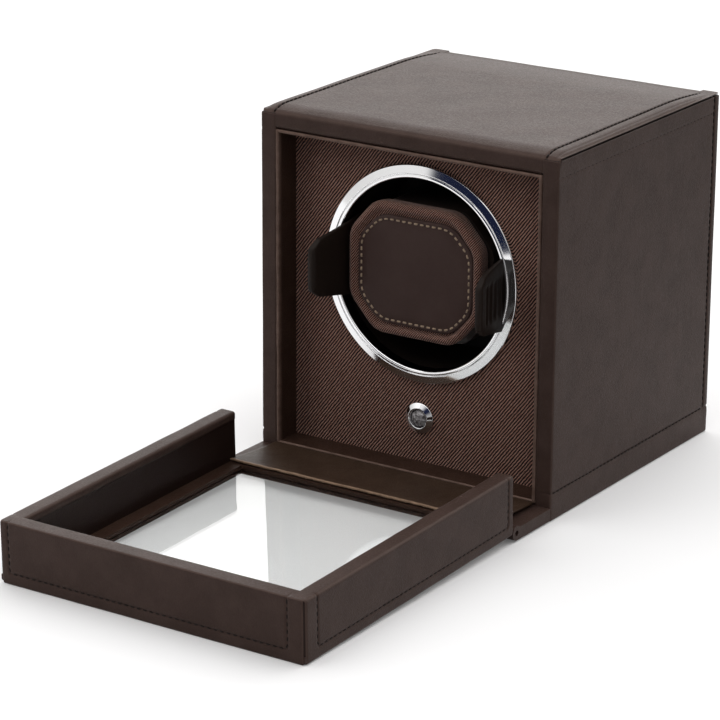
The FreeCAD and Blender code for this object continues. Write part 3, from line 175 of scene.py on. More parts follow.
def lines_along(low, high, radius, step, seams):
    """Places of grid lines from low to high, close together in the folds and about the seams."""
    fold = radius * np.tan(np.radians(np.linspace(0, 45, 5)))
    inner = np.linspace(low + radius, high - radius, max(2, int((high - low) / step)))
    about = np.array([seam + offset for seam in seams for offset in (-1.6, -0.8, -0.4, 0, 0.4, 0.8, 1.6)])
    about = about[(about > low + radius) & (about < high - radius)]
    return np.unique(np.round(np.concatenate([low + radius - fold, inner, about, high - radius + fold]), 3))


def soft_box(low, high, radius, step=2.0, seams=((), (), ()), shape=None):
    """A box with rounded folds. Each point of its plain surface is drawn to the nearest point of a
    box smaller by the radius, then set out from it by the radius. A shape function of the points
    and their outward directions then moves each point outwards. Wear is highest in the folds."""
    low, high = np.array(low, float), np.array(high, float)
    lines = [lines_along(low[k], high[k], radius, step, seams[k]) for k in range(3)]
    parts = []
    for axis in range(3):
        first, second = (axis + 1) % 3, (axis + 2) % 3
        across, up = np.meshgrid(lines[first], lines[second], indexing="ij")
        for side in (low[axis], high[axis]):
            points = np.empty((across.size, 3))
            points[:, first], points[:, second], points[:, axis] = across.ravel(), up.ravel(), side
            faces = grid(len(lines[first]), len(lines[second]))
            parts.append((points, faces if side == low[axis] else faces[:, ::-1], np.zeros(len(points))))
    points, faces, _ = joined(*parts)
    inner = np.clip(points, low + radius, high - radius)
    out = points - inner
    out /= np.linalg.norm(out, axis=1, keepdims=True)
    points = inner + out * radius
    wear_and_shade = np.clip((1 - np.abs(out).max(axis=1)) / 0.25, 0, 1)
    if shape:
        points = points + out * shape(points, out)[:, None]
    return points, faces, wear_and_shade


def stitches(path, facing, pitch=3.1, share=0.74, radius=0.3, rise=0.1):
    """A row of stitches on a path whose points face outwards along the given directions. Each is a
    thread along share of the pitch: at s from -1 to 1 of its length its centre stands out by the
    rise less (radius + rise) * s^4, and its radius shrinks with (1 - s^6)."""
    path, facing = np.array(path, float), np.array(facing, float)
    run = np.concatenate([[0], np.cumsum(np.linalg.norm(np.diff(path, axis=0), axis=1))])
    count = max(1, int(run[-1] / pitch))
    along = np.linspace(-1, 1, 7)
    around = np.linspace(0, 2 * math.pi, 6, endpoint=False)
    middle = (np.arange(count) + 0.5) * run[-1] / count
    where = np.clip(middle[:, None] + along * (share * pitch / 2), 0, run[-1])

    def at(values, place):
        """Values at places along the path, drawn straight between its points."""
        return np.stack([np.interp(place, run, values[:, k]) for k in range(3)], -1)

    centre, out = at(path, where), at(facing, where)
    out /= np.linalg.norm(out, axis=-1, keepdims=True)
    ahead = at(path, where + 0.05) - at(path, where - 0.05)
    ahead /= np.linalg.norm(ahead, axis=-1, keepdims=True) + 1e-9
    aside = np.cross(ahead, out)
    centre = centre + out * (rise - (radius + rise) * along**4)[None, :, None]
    thick = radius * np.sqrt(np.clip(1 - along**6, 0, 1))
    thick = thick[None, :, None, None]
    ring = aside[:, :, None] * np.cos(around)[:, None] + out[:, :, None] * np.sin(around)[:, None]
    points = (centre[:, :, None] + ring * thick).reshape(-1, 3)
    one = grid(len(along), len(around), ring=True)
    faces = (one[None] + np.arange(count)[:, None, None] * len(along) * len(around)).reshape(-1, 4)
    return points, faces, np.zeros(len(points))


def rounded_path(corners, radius):
    """A path through corners, each rounded by a curve that leaves one run a radius before the
    corner and joins the next a radius after it."""
    corners = np.array(corners, float)
    path = [corners[0]]
    share = np.linspace(0, 1, 7)[:, None]
    for before, corner, after in zip(corners, corners[1:], corners[2:]):
        start = corner + (before - corner) / np.linalg.norm(before - corner) * radius
        end = corner + (after - corner) / np.linalg.norm(after - corner) * radius
        path.extend((1 - share) ** 2 * start + 2 * share * (1 - share) * corner + share**2 * end)
    path.append(corners[-1])
    return np.array(path)


def eased(corners, radius):
    """A profile through corners, rounded a little at each, with a point close to each end of every
    straight run, so that the runs stay flat when shaded smooth."""
    path = rounded_path(corners, radius)
    step = np.diff(path, axis=0)
    length = np.linalg.norm(step, axis=1, keepdims=True)
    lead = np.minimum(0.12 / length, 0.4) * step
    triples = np.stack([path[:-1], path[:-1] + lead, path[1:] - lead], 1)
    keep = np.stack([np.ones(len(step)), length[:, 0] > 0.6, length[:, 0] > 0.6], 1).astype(bool)
    return np.concatenate([triples[keep], path[-1:]])


def turned(profile, height, count=180):
    """A surface turned about a front-to-back axis at a height, from (radius, y) corners, first to
    last. Angle a of the turn puts a corner at x = radius * sin a and z = height + radius * cos a."""
    profile = np.array(profile, float)
    angle = np.linspace(0, 2 * math.pi, count, endpoint=False)
    radius, depth = profile[:, 0][:, None], profile[:, 1][:, None]
    across, up = radius * np.sin(angle), height + radius * np.cos(angle)
    points = np.stack([across, depth + 0 * angle, up], -1).reshape(-1, 3)
    return points, grid(len(profile), count, ring=True), np.zeros(len(points))


def octagon(half_width, half_height, top_half, side_half, corner, arc=7, straight=9):
    """An upright octagon of (x, z) points with an arc at each corner, and at each point the
    direction outwards. A corner's arc runs between the directions of the two sides it joins."""
    right = [(half_width, side_half), (top_half, half_height)]
    upper = right + [(-x, z) for x, z in reversed(right)]
    spots = np.array(upper + [(x, -z) for x, z in reversed(upper)], float)
    after = np.roll(spots, -1, axis=0) - spots
    length = np.linalg.norm(after, axis=1, keepdims=True)
    after /= length
    out_after = np.stack([after[:, 1], -after[:, 0]], -1)
    out_before = np.roll(out_after, 1, axis=0)
    middle = out_before + out_after
    reach = corner / (1 + (out_before * out_after).sum(axis=1, keepdims=True))
    centre = spots - middle * reach
    share = np.linspace(0, 1, arc)[None, :, None]
    out = out_before[:, None] * (1 - share) + out_after[:, None] * share
    out /= np.linalg.norm(out, axis=-1, keepdims=True)
    arcs = centre[:, None] + out * corner
    share = np.linspace(0, 1, straight + 2)[1:-1][None, :, None]
    sides = arcs[:, -1:] * (1 - share) + np.roll(arcs, -1, axis=0)[:, :1] * share
    facing = np.repeat(out_after[:, None], straight, axis=1)
    points = np.concatenate([arcs, sides], axis=1).reshape(-1, 2)
    return points, np.concatenate([out, facing], axis=1).reshape(-1, 2)


def cushion(outline, outwards, profile, height):
    """A closed form through inward-drawn copies of an outline. A profile row (inset, share, y)
    draws the outline in by the inset, then shrinks it to the share about the middle, at depth y."""
    rows = []
    for inset, share, depth in profile:
        ring = (outline - outwards * inset) * share
        rows.append(np.stack([ring[:, 0], np.full(len(ring), depth), ring[:, 1] + height], -1))
    points = np.concatenate(rows)
    return points, grid(len(profile), len(outline), ring=True), np.zeros(len(points))


def on_lid(surface):
    """Lid-own points (across, reach from the hinge, height over the outer face) put in place."""
    points, faces, wear_and_shade = surface
    return lid_points(points), faces, wear_and_shade


def lid_points(points):
    """Turns lid-own points about the hinge by the lid's tilt."""
    points = np.array(points, float)
    tilt = math.radians(LID_TILT)
    reach, height = points[..., 1], points[..., 2]
    away = HINGE_Y - reach * math.cos(tilt) - height * math.sin(tilt)
    up = HINGE_Z - reach * math.sin(tilt) + height * math.cos(tilt)
    return np.stack([points[..., 0], away, up], -1)


def lid_ways(ways):
    """Turns lid-own directions by the lid's tilt."""
    return lid_points(ways) - lid_points(np.zeros(3))


def mirrored(surface):
    """The same surface on the other side of the middle."""
    points, faces, wear_and_shade = surface
    return points * (-1, 1, 1), faces[:, ::-1], wear_and_shade


# Materials


class Look:
    """A material with its Principled shader, and short ways to add and join nodes."""

    def __init__(self, name, **sockets):
        self.material = bpy.data.materials.new(name)
        self.material.use_nodes = True
        self.tree = self.material.node_tree
        self.shader = self.tree.nodes["Principled BSDF"]
        self.where = self.tree.nodes.new("ShaderNodeTexCoord").outputs["Object"]
        self.set(self.shader, sockets)

    def set(self, node, sockets):
        """Joins nodes to a node's inputs, or gives the inputs plain values."""
        for name, value in sockets.items():
            name = int(name) if name.isdigit() else name
            if isinstance(value, bpy.types.NodeSocket):
                self.tree.links.new(value, node.inputs[name])
            else:
                node.inputs[name].default_value = value

    def add(self, kind, settings=(), **sockets):
        """A new node, with its own settings and its inputs."""
        node = self.tree.nodes.new("ShaderNode" + kind)
        for name, value in dict(settings).items():
            setattr(node, name, value)
        self.set(node, {name.replace("_", " "): value for name, value in sockets.items()})
        return node

    def math(self, operation, first, second=0.0, third=0.0):
        """A sum, product or function of up to three values."""
        node = self.add("Math", {"operation": operation})
        self.set(node, {"0": first, "1": second, "2": third})
        return node.outputs[0]

    def spread(self, value, low, high, to_low=0.0, to_high=1.0):
        """A smooth step of a value between two bounds."""
        node = self.add("MapRange", {"interpolation_type": "SMOOTHSTEP"})
        self.set(node, {"Value": value, "From Min": low, "From Max": high})
        self.set(node, {"To Min": to_low, "To Max": to_high})
        return node.outputs[0]

    def noise(self, size, detail=3.0, roughness=0.5, where=None, distortion=0.0):
        """Cloudy noise whose patches are about size millimetres across."""
        node = self.add("TexNoise", Detail=detail, Roughness=roughness, Distortion=distortion)
        self.set(node, {"Vector": where or self.where, "Scale": 1 / (size * MM)})
        return node.outputs["Fac"]

    def cells(self, size, feature="F1", where=None):
        """Distances in cells about size millimetres across."""
        node = self.add("TexVoronoi", {"feature": feature})
        self.set(node, {"Vector": where or self.where, "Scale": 1 / (size * MM)})
        return node.outputs["Distance"]

    def mix(self, share, first, second):
        """A share of the second colour over the first."""
        node = self.add("Mix", {"data_type": "RGBA"})
        self.set(node, {"0": share, "6": first, "7": second})
        return node.outputs[2]

    def bump(self, height, depth, strength=1.0, normal=None):
        """Relief with the given depth in millimetres."""
        node = self.add("Bump", Strength=strength, Distance=depth * MM)
        self.set(node, {"Height": height})
        if normal:
            self.set(node, {"Normal": normal})
        self.set(self.shader, {"Normal": node.outputs[0]})
        return node.outputs[0]

    def color(self, value):
        """Gives the shader its base colour."""
        self.set(self.shader, {"Base Color": value})

    def attribute(self, name):
        """A value that the mesh carries at its points."""
        return self.add("Attribute", {"attribute_name": name}).outputs["Fac"]


def rgb(red, green, blue):
    """An opaque colour."""
    return (red, green, blue, 1.0)


def leather_look(name, dark, light, worn, sheen, grain=1.0, rough=0.42, relief=0.1):
    """Grained leather: cloudy tone, fine pebbles parted by creases, slightly paler worn folds, and, where the
    mesh's value is below nought, near-black painted shade of gaps and creases, which also darkens the lid's
    inner faces."""
    look = Look(name)
    look.set(look.shader, {"Specular IOR Level": sheen, "Specular Tint": rgb(1.0, 0.84, 0.78)})
    cloud = look.spread(look.noise(13, 5.0, 0.62), 0.3, 0.7)
    fine = look.noise(0.8, 3.0, 0.7)
    tone = look.mix(look.math("MULTIPLY_ADD", cloud, 0.45, look.math("MULTIPLY", fine, 0.55)), dark, light)
    patches = look.spread(look.noise(5, 4.0, 0.6), 0.2, 0.8, 0.35, 0.75)
    wear_and_shade = look.math("MULTIPLY", look.attribute("wear_and_shade"), patches)
    # Below nought the colour goes near-black: painted shade in gaps and creases, and the lid's darkened inner
    # faces.
    lining = look.math("MULTIPLY", look.attribute("wear_and_shade"), -1.0)
    look.color(look.mix(lining, look.mix(wear_and_shade, tone, worn), rgb(0.012, 0.006, 0.005)))
    pebbles = look.spread(look.cells(grain, "DISTANCE_TO_EDGE"), 0.0, 0.2)
    height = look.math("MULTIPLY_ADD", fine, 0.5, look.math("MULTIPLY_ADD", pebbles, 0.6, cloud))
    look.bump(height, relief, 0.6)
    look.set(look.shader, {"Roughness": look.spread(fine, 0.3, 0.7, rough + 0.08, rough - 0.06)})
    return look.material


def twill_look(name, pitch, source="Object", thread=rgb(0.56, 0.32, 0.25), gap=rgb(0.012, 0.006, 0.005)):
    """Twill cloth: pale ribs rising to the right at 52 degrees over dark gaps, broken along their
    length into the turns of the weft, with cloudy changes of tone."""
    look = Look(name, Roughness=0.85)
    look.set(look.shader, {"Specular IOR Level": 0.15, "Sheen Weight": 0.12, "Sheen Roughness": 0.5})
    where = look.where if source == "Object" else look.add("UVMap", {"uv_map": source}).outputs[0]
    parts = look.add("SeparateXYZ")
    look.set(parts, {"0": where})
    across, up = parts.outputs[0], parts.outputs[2 if source == "Object" else 1]
    drift = look.math("SUBTRACT", look.noise(2.2, 2.0, 0.5, where), 0.5)
    wobble = look.math("MULTIPLY", drift, 0.45 * pitch * MM)
    rise = math.tan(math.radians(52))
    shift = look.math("ADD", look.math("SUBTRACT", across, look.math("MULTIPLY", up, 1 / rise)), wobble)
    phase = look.math("MULTIPLY", shift, 2 * math.pi / (pitch * MM))
    rib = look.math("MULTIPLY_ADD", look.math("SINE", phase), 0.5, 0.5)
    lean = look.math("ADD", up, look.math("MULTIPLY", across, 0.35))
    turn = look.math("MULTIPLY", lean, 2 * math.pi / (0.62 * pitch * MM))
    weft = look.math("MULTIPLY_ADD", look.math("SINE", turn), 0.5, 0.5)
    fuzz = look.noise(0.25, 3.0, 0.7, where)
    height = look.math("MULTIPLY", look.spread(rib, 0.3, 0.9), look.math("MULTIPLY_ADD", weft, 0.28, 0.72))
    tone = look.math("MULTIPLY", height, look.spread(fuzz, 0.25, 0.75, 0.55, 1.15))
    hue = look.noise(1.1, 2.0, 0.6, where)
    thread = look.mix(look.spread(hue, 0.4, 0.62), thread, rgb(0.46, 0.23, 0.17))
    look.color(look.mix(tone, gap, thread))
    look.bump(look.math("MULTIPLY_ADD", fuzz, 0.25, height), 0.22, 0.8)
    return look.material


def plain_look(name, base, size, depth, rough, metallic=0.0, sheen=0.5, spread=0.25, **sockets):
    """A hard or felted finish: one tone with faint cloudy changes, and fine relief."""
    look = Look(name, Metallic=metallic, **{key.replace("_", " "): value for key, value in sockets.items()})
    look.set(look.shader, {"Specular IOR Level": sheen})
    patch = look.noise(size, 3.0, 0.6)
    darker = rgb(*(channel * (1 - spread) for channel in base))
    look.color(look.mix(look.spread(patch, 0.3, 0.7), darker, rgb(*base)))
    look.set(look.shader, {"Roughness": look.spread(patch, 0.3, 0.7, rough, rough * 1.15)})
    look.bump(look.noise(size * 0.4, 3.0, 0.6), depth)
    return look.material


def gem_look():
    """Cut clear plastic over grey: flat cells of changing slope, each painted a lighter or darker grey as its
    facet's reflection, with a few bright points painted in as glints.
    """
    look = Look("gem", Roughness=0.08)
    look.set(look.shader, {"Transmission Weight": 0.1, "Specular IOR Level": 0.8})
    cells = look.add("TexVoronoi", {"feature": "F1"})
    look.set(cells, {"Vector": look.where, "Scale": 1 / (1.3 * MM)})
    # Each cell's grey is painted as its facet's reflection, lighter or darker.
    painted_facet_reflection = look.spread(cells.outputs["Color"], 0.2, 0.9)
    tone = look.mix(painted_facet_reflection, rgb(0.12, 0.11, 0.11), rgb(0.5, 0.48, 0.49))
    # Small near-white spots are painted glints.
    look.color(look.mix(look.spread(look.noise(0.7), 0.68, 0.72), tone, rgb(0.9, 0.9, 0.92)))
    look.bump(cells.outputs["Distance"], 0.5)
    return look.material


LOOKS = {
    "leather": leather_look(
        "leather", rgb(0.034, 0.0195, 0.0155), rgb(0.062, 0.039, 0.033), rgb(0.09, 0.06, 0.05), 0.14),
    "liner_leather": leather_look(
        "liner_leather", rgb(0.026, 0.013, 0.009), rgb(0.05, 0.028, 0.02), rgb(0.24, 0.16, 0.13), 0.12),
    "strip_leather": leather_look(
        "strip_leather", rgb(0.028, 0.016, 0.01), rgb(0.055, 0.034, 0.023), rgb(0.42, 0.28, 0.19), 0.12),
    "plate_leather": leather_look(
        "plate_leather", rgb(0.043, 0.025, 0.022), rgb(0.058, 0.036, 0.032), rgb(0.06, 0.04, 0.035), 0.15,
        grain=0.6, rough=0.45, relief=0.02),
    "twill": twill_look("twill", 1.5),
    "felt": plain_look("felt", (0.02, 0.017, 0.015), 0.6, 0.08, 0.95, sheen=0.1),
    "chrome": plain_look("chrome", (0.86, 0.86, 0.87), 14, 0.001, 0.07, 1.0, spread=0.03),
    "clear_plastic": plain_look(
        "clear_plastic", (0.8, 0.8, 0.82), 3, 0.004, 0.06, spread=0.04, Transmission_Weight=0.55),
    "black_plastic": plain_look("black_plastic", (0.02, 0.012, 0.009), 3, 0.01, 0.5),
    "tab_plastic": plain_look("tab_plastic", (0.017, 0.0105, 0.008), 2, 0.012, 0.5, sheen=0.15),
    "gear_plastic": plain_look("gear_plastic", (0.72, 0.7, 0.64), 3, 0.005, 0.4, spread=0.08),
    "bronze": plain_look("bronze", (0.5, 0.31, 0.14), 1, 0.004, 0.35, 1.0),
    "steel": plain_look("steel", (0.55, 0.56, 0.57), 2, 0.004, 0.28, 1.0, spread=0.12),
    "circuit_green": plain_look("circuit_green", (0.02, 0.11, 0.05), 1.5, 0.01, 0.4),
    "glass": plain_look(
        "glass", (0.98, 0.99, 0.985), 60, 0.0, 0.0, spread=0.01, Transmission_Weight=1.0, IOR=1.45),
    "thread": plain_look("thread", (0.016, 0.011, 0.009), 0.4, 0.03, 0.7, sheen=0.2),
    "tan_thread": plain_look("tan_thread", (0.42, 0.31, 0.22), 0.4, 0.03, 0.75, sheen=0.2),
}

for name, node in frame["nodes"].items():
    slot_name = node.data.materials[0].name.split(".")[0]
    if slot_name not in LOOKS:
        raise ValueError(f"node {name} has no look for {slot_name}")
    node.data.materials.clear()
    node.data.materials.append(LOOKS[slot_name])


# The case

STITCH_X = EDGE_X - 6.4
CREASE_X = EDGE_X - 1.7
SEAM_Z = 12.6
BACK_SEAM_Y = BACK_Y - 3.6
EDGE_LINE_Z = TOP_Z - 0.4
FAINT_SEAM_Z = TOP_Z - 8.6
CROWN = 2.2
INSIDE_X = SIDE_LOW[0] - 0.6


def crown(points):
    """Rise of the padded top: none at its edges and full some way in from them. It is a quarter circle
    in from each side, times a quarter sine wave from the front, times one from the back."""
    side_run, front_run, back_run = 6.4, 9.0, 34.0
    inset = np.clip((EDGE_X + 0.4 - np.abs(points[:, 0])) / side_run, 0, 1)
    front = np.clip((points[:, 1] - FRONT_Y) / front_run, 0, 1)
    back = np.clip((BACK_Y - 4 - points[:, 1]) / back_run, 0, 1)
    return CROWN * np.sqrt(1 - (1 - inset) ** 2) * np.sin(front * math.pi / 2) * np.sin(back * math.pi / 2)


def top_shape(points, out):
    """Stitch furrows near both side edges, and slow waves."""
    aside = np.abs(points[:, 0])
    upper = (points[:, 2] > EDGE_LINE_Z) | (points[:, 1] < FRONT_Y + 2)
    furrow = near(aside - STITCH_X, 0.6) * upper * (np.abs(out[:, 0]) < 0.5)
    crease = near(aside - CREASE_X, 0.4) * (out[:, 2] > 0.3)
    return -0.55 * furrow - 0.25 * crease + 0.12 * ripple(points, 38, 3)


def top_board():
    """A box as tall as the front band. Its top rises as a padded crown. Behind the band and over the
    side panels, all that lies under its upper folds is squeezed up to the line where they end, and
    painted near-black as the shade in the gap under the folds."""
    fold = 2.0
    low, high = (-EDGE_X, FRONT_Y, CEILING_Z), (EDGE_X + 0.3, BACK_Y + 0.5, TOP_Z - 0.2)
    across = (-STITCH_X, -CREASE_X, CREASE_X, STITCH_X, INSIDE_X, -INSIDE_X)
    seams = (across, (FRONT_Y + 3,), (EDGE_LINE_Z,))
    points, faces, wear_and_shade = soft_box(low, high, fold, 1.6, seams, top_shape)
    behind = step_up(points[:, 1], FRONT_Y + 0.7, FRONT_Y + 2.2)
    behind = behind * step_up(np.abs(points[:, 0]), INSIDE_X - 0.4, INSIDE_X + 0.4)
    upper = np.clip((points[:, 2] - (TOP_Z - fold)) / fold, 0, 1)
    points[:, 2] += crown(points) * np.sqrt(upper)
    share = (points[:, 2] - CEILING_Z) / (TOP_Z - CEILING_Z)
    lifted = EDGE_LINE_Z + 0.15 + share * (TOP_Z - EDGE_LINE_Z)
    squeezed = points[:, 2] * (1 - behind) + np.minimum(lifted, TOP_Z) * behind
    points[:, 2] = np.where(points[:, 2] < TOP_Z, squeezed, points[:, 2])
    # What lies under the folds is painted near-black: the shade in the gap under them.
    return points, faces, np.where((points[:, 2] < EDGE_LINE_Z + 0.3) & (behind > 0.5), DARK_INSIDE_AND_SHADE, wear_and_shade)


piece("top_leather", top_board(), LOOKS["leather"], "case", ("case_top", "case_top_board"))


def side_shape(points, out):
    """Furrows of the seams near the foot and the back edge, and a faint one under the top."""
    outer = np.abs(points[:, 0]) > EDGE_X - 2.5
    foot = near(points[:, 2] - SEAM_Z, 0.55)
    back = near(points[:, 1] - BACK_SEAM_Y, 0.55) * (points[:, 2] > SEAM_Z)
    faint = near(points[:, 2] - FAINT_SEAM_Z, 0.5) * (points[:, 1] < BACK_SEAM_Y)
    roll = near(points[:, 2] - (SEAM_Z - 3.0), 2.2) + near(points[:, 1] - (BACK_SEAM_Y + 2.5), 1.6)
    waves = ripple(points, 46, 5)
    return outer * (-0.4 * foot - 0.45 * back - 0.14 * faint + 0.12 * roll) + 0.1 * waves


def side_panel():
    """The right panel: a soft box that ends a little below the top. Its upper rim is painted near-black
    as the shade in the gap under the top, so that the gap shows as a dark line."""
    low = (SIDE_LOW[0] + 0.1, FRONT_Y - 0.1, 0.2)
    high = (EDGE_X + 0.1, BACK_Y + 0.8, EDGE_LINE_Z - 0.6)
    seams = ((), (BACK_SEAM_Y,), (SEAM_Z, FAINT_SEAM_Z))
    points, faces, wear_and_shade = soft_box(low, high, 0.8, 1.8, seams, side_shape)
    # The upper rim is painted dark: the shade in the gap under the top's fold.
    return points, faces, np.where(points[:, 2] > EDGE_LINE_Z - 0.9, DARK_INSIDE_AND_SHADE, wear_and_shade)


piece("side_leather_right", side_panel(), LOOKS["leather"], "case", ("case_side_right",))
piece("side_leather_left", mirrored(side_panel()), LOOKS["leather"], "case", ("case_side_left",))


def flat_stitches(corners, rounding, facing, **sizes):
    """Stitches along a rounded path on a flat face."""
    path = rounded_path(corners, rounding)
    return stitches(path, np.tile(np.array(facing, float), (len(path), 1)), **sizes)


def case_stitches():
    """The rows of dark stitches on the top and the sides. Those on the top follow the crown, and bend
    over the front edge along a quarter circle."""
    rows = []
    outer = EDGE_X - 0.1
    along = np.concatenate([np.linspace(BACK_Y - 1.0, FRONT_Y + 3.0, 60), FRONT_Y + np.linspace(2.4, 0.4, 5)])
    flat = np.stack([0 * along + STITCH_X, along, 0 * along + TOP_Z], -1)
    drop = np.clip(1 - (along - FRONT_Y) / 2.0, 0, 1)
    flat[:, 2] += crown(flat) - 0.45 - 1.6 * (1 - np.sqrt(1 - drop**2))
    drawn_y = FRONT_Y + 0.35
    flat = np.concatenate([flat, [(STITCH_X, drawn_y, TOP_Z - 3), (STITCH_X, drawn_y, CEILING_Z + 0.8)]])
    ways = np.zeros_like(flat)
    ways[:, 1] = -np.concatenate([drop, [1, 1]])
    ways[:, 2] = np.sqrt(1 - ways[:, 1] ** 2)
    for sign in (-1, 1):
        x, facing = sign * outer, (sign, 0, 0)
        seam = [(x, FRONT_Y + 1.5, SEAM_Z), (x, BACK_SEAM_Y, SEAM_Z), (x, BACK_SEAM_Y, EDGE_LINE_Z - 1)]
        faint = [(x, FRONT_Y + 2, FAINT_SEAM_Z), (x, BACK_SEAM_Y - 1, FAINT_SEAM_Z)]
        rows.append(stitches(flat * (sign, 1, 1), ways, radius=0.36))
        rows.append(flat_stitches(seam, 3, facing))
        rows.append(flat_stitches(faint, 3, facing, share=0.4, radius=0.22, rise=0.0))
    return joined(*rows)


piece("case_stitches", case_stitches(), LOOKS["thread"], "case")


def liner_surface():
    """Four soft boards round the recess, worn pale along their front edges."""
    thick = 1.5
    inner_x, outer_x = LINER_HIGH[0] - thick, LINER_HIGH[0]
    low, high = LINER_LOW[2], LINER_HIGH[2]
    front, back = LINER_LOW[1], LINER_HIGH[1]

    def wavy(points, out):
        """Slow waves, only near the front."""
        return 0.16 * ripple(points, 17, 9) * (points[:, 1] < front + 3)

    upright = soft_box((inner_x, front, low), (outer_x, back, high), 0.65, 2.0, shape=wavy)
    level = [
        soft_box((-outer_x, front + 0.1, z), (outer_x, back, z + thick), 0.65, 2.0, shape=wavy)
        for z in (low, high - thick)
    ]
    points, faces, wear_and_shade = joined(upright, mirrored(upright), *level)
    return points, faces, np.maximum(wear_and_shade, 0.9 * (points[:, 1] < front + 0.7))


piece("liner_leather", liner_surface(), LOOKS["liner_leather"], "case", ("liner_frame",))


# The ring and the button

RING_OPENING = 43.2


def ring_surface():
    """The chrome ring, turned from its profile: the bore, a low bead round the opening, a groove, a
    cone that falls outwards to the board, and the sleeve through the board."""
    opening, rim = RING_OPENING, RING_HIGH[0]
    crest, face, back = RING_LOW[1], BOARD_LOW[1] + 0.1, RING_HIGH[1]
    bead = [
        (opening, back), (opening, crest + 0.4), (opening + 0.35, crest + 0.05),
        (opening + 1.0, crest - 0.05), (opening + 1.65, crest + 0.1), (opening + 1.95, crest + 0.45),
        (opening + 2.2, crest + 0.1)]
    cone = [(rim - 0.35, crest + 0.75), (rim, crest + 1.1), (rim, face)]
    sleeve = [(rim - 2.0, face), (rim - 2.0, back), (opening, back)]
    return turned(eased(bead + cone + sleeve, 0.12), RING_Z, 288)


def button_surface():
    """The button's ring, turned from its profile: a cone that rises inwards from the board to the
    lip round the cap, and the sleeve through the board."""
    face, lip, back = BOARD_LOW[1], BUTTON_LOW[1], BUTTON_HIGH[1]
    cone = [(7.1, face + 0.1), (7.1, face - 0.6), (4.9, lip), (4.35, lip + 0.1), (4.1, lip + 0.7)]
    sleeve = [(4.1, back), (6.0, back), (6.0, face + 0.1), (7.1, face + 0.1)]
    return turned(eased(cone + sleeve, 0.2), BUTTON_Z, 96)


def gem_surface():
    """The button's clear cap: a dome, turned from its profile, on a short cylinder."""
    front, back = CAP_LOW[1], CAP_HIGH[1]
    dome = [
        (0.0, front - 0.5), (0.8, front - 0.48), (1.6, front - 0.4), (2.4, front - 0.22),
        (3.1, front + 0.08), (3.6, front + 0.5), (3.9, front + 1.1)]
    return turned(dome + [(3.9, back), (0.0, back)], BUTTON_Z, 48)


piece("ring_polish", ring_surface(), LOOKS["chrome"], "case", ("bezel_ring",))
piece("button_polish", button_surface(), LOOKS["chrome"], "case", ("button_ring",))
piece("button_gem", gem_surface(), gem_look(), "button", ("button_cap",))


# The lid

WALL_SEAM = 5.0
END_SEAM = 8.2
NEAR_SEAM = 4.6
LINING_DROP = 3.5
LINING_INSET = 1.1
WALL_FOLD = 1.5
CORNER_X = EDGE_X - 0.9
OUTER_X = EDGE_X + 0.2
FAR_REACH = LID_REACH + 0.4
NEAR_REACH = LID_NEAR - 1.6


def seam_frame(along, up, start, end):
    """How much a point lies in the furrow of a seam that runs up both ends and along the foot."""
    inside = (along > start) & (along < end)
    foot = near(up - WALL_SEAM, 0.5) * inside
    ends = (near(along - start, 0.5) + near(along - end, 0.5)) * (up > WALL_SEAM)
    return np.clip(foot + ends, 0, 1)


def side_wall_shape(points, out):
    """The seam's furrow outside a side wall, and the lining's edge inside it."""
    outer = points[:, 0] > EDGE_X - 1
    seam = seam_frame(points[:, 1], points[:, 2], NEAR_REACH + NEAR_SEAM, LID_REACH - END_SEAM) * outer
    lining = step_up(LID_DEPTH - points[:, 2], LINING_DROP - 0.2, LINING_DROP + 0.2) * (out[:, 0] < -0.5)
    return -0.4 * seam - 0.3 * lining + 0.12 * ripple(points, 30, 12)


def far_wall_shape(points, out):
    """The seam's furrow outside the far wall, and the lining's edge inside it."""
    outer = points[:, 1] > LID_REACH - 1
    seam = seam_frame(points[:, 0], points[:, 2], NEAR_SEAM - EDGE_X, EDGE_X - END_SEAM) * outer
    lining = step_up(LID_DEPTH - points[:, 2], LINING_DROP - 0.2, LINING_DROP + 0.2) * (out[:, 1] < -0.5)
    return -0.4 * seam - 0.3 * lining + 0.12 * ripple(points, 30, 14)


def side_wall():
    """The right wall: a soft box, darkened on its inner faces below the lining's edge, and painted dark
    as shade in the crease where it meets the far wall.
    """
    low = (EDGE_X - LID_WALL - 0.4, NEAR_REACH, -0.1)
    high = (OUTER_X + 0.1, FAR_REACH - 0.5, LID_DEPTH + 0.1)
    seams = ((), (NEAR_REACH + NEAR_SEAM, LID_REACH - END_SEAM), (WALL_SEAM, LID_DEPTH - LINING_DROP))
    points, faces, wear_and_shade = soft_box(low, high, WALL_FOLD, 2.0, seams, side_wall_shape)
    # Inner faces below the lining's edge are darkened; the crease by the far wall is painted shade.
    lined = points[:, 2] < LID_DEPTH - LINING_DROP + 0.1
    inside = (points[:, 0] < EDGE_X - LID_WALL + LINING_INSET) & lined
    crease = (points[:, 0] < EDGE_X - 0.3) & (points[:, 1] > FAR_REACH - 0.9)
    return on_lid((points, faces, np.where(inside | crease, DARK_INSIDE_AND_SHADE, wear_and_shade)))


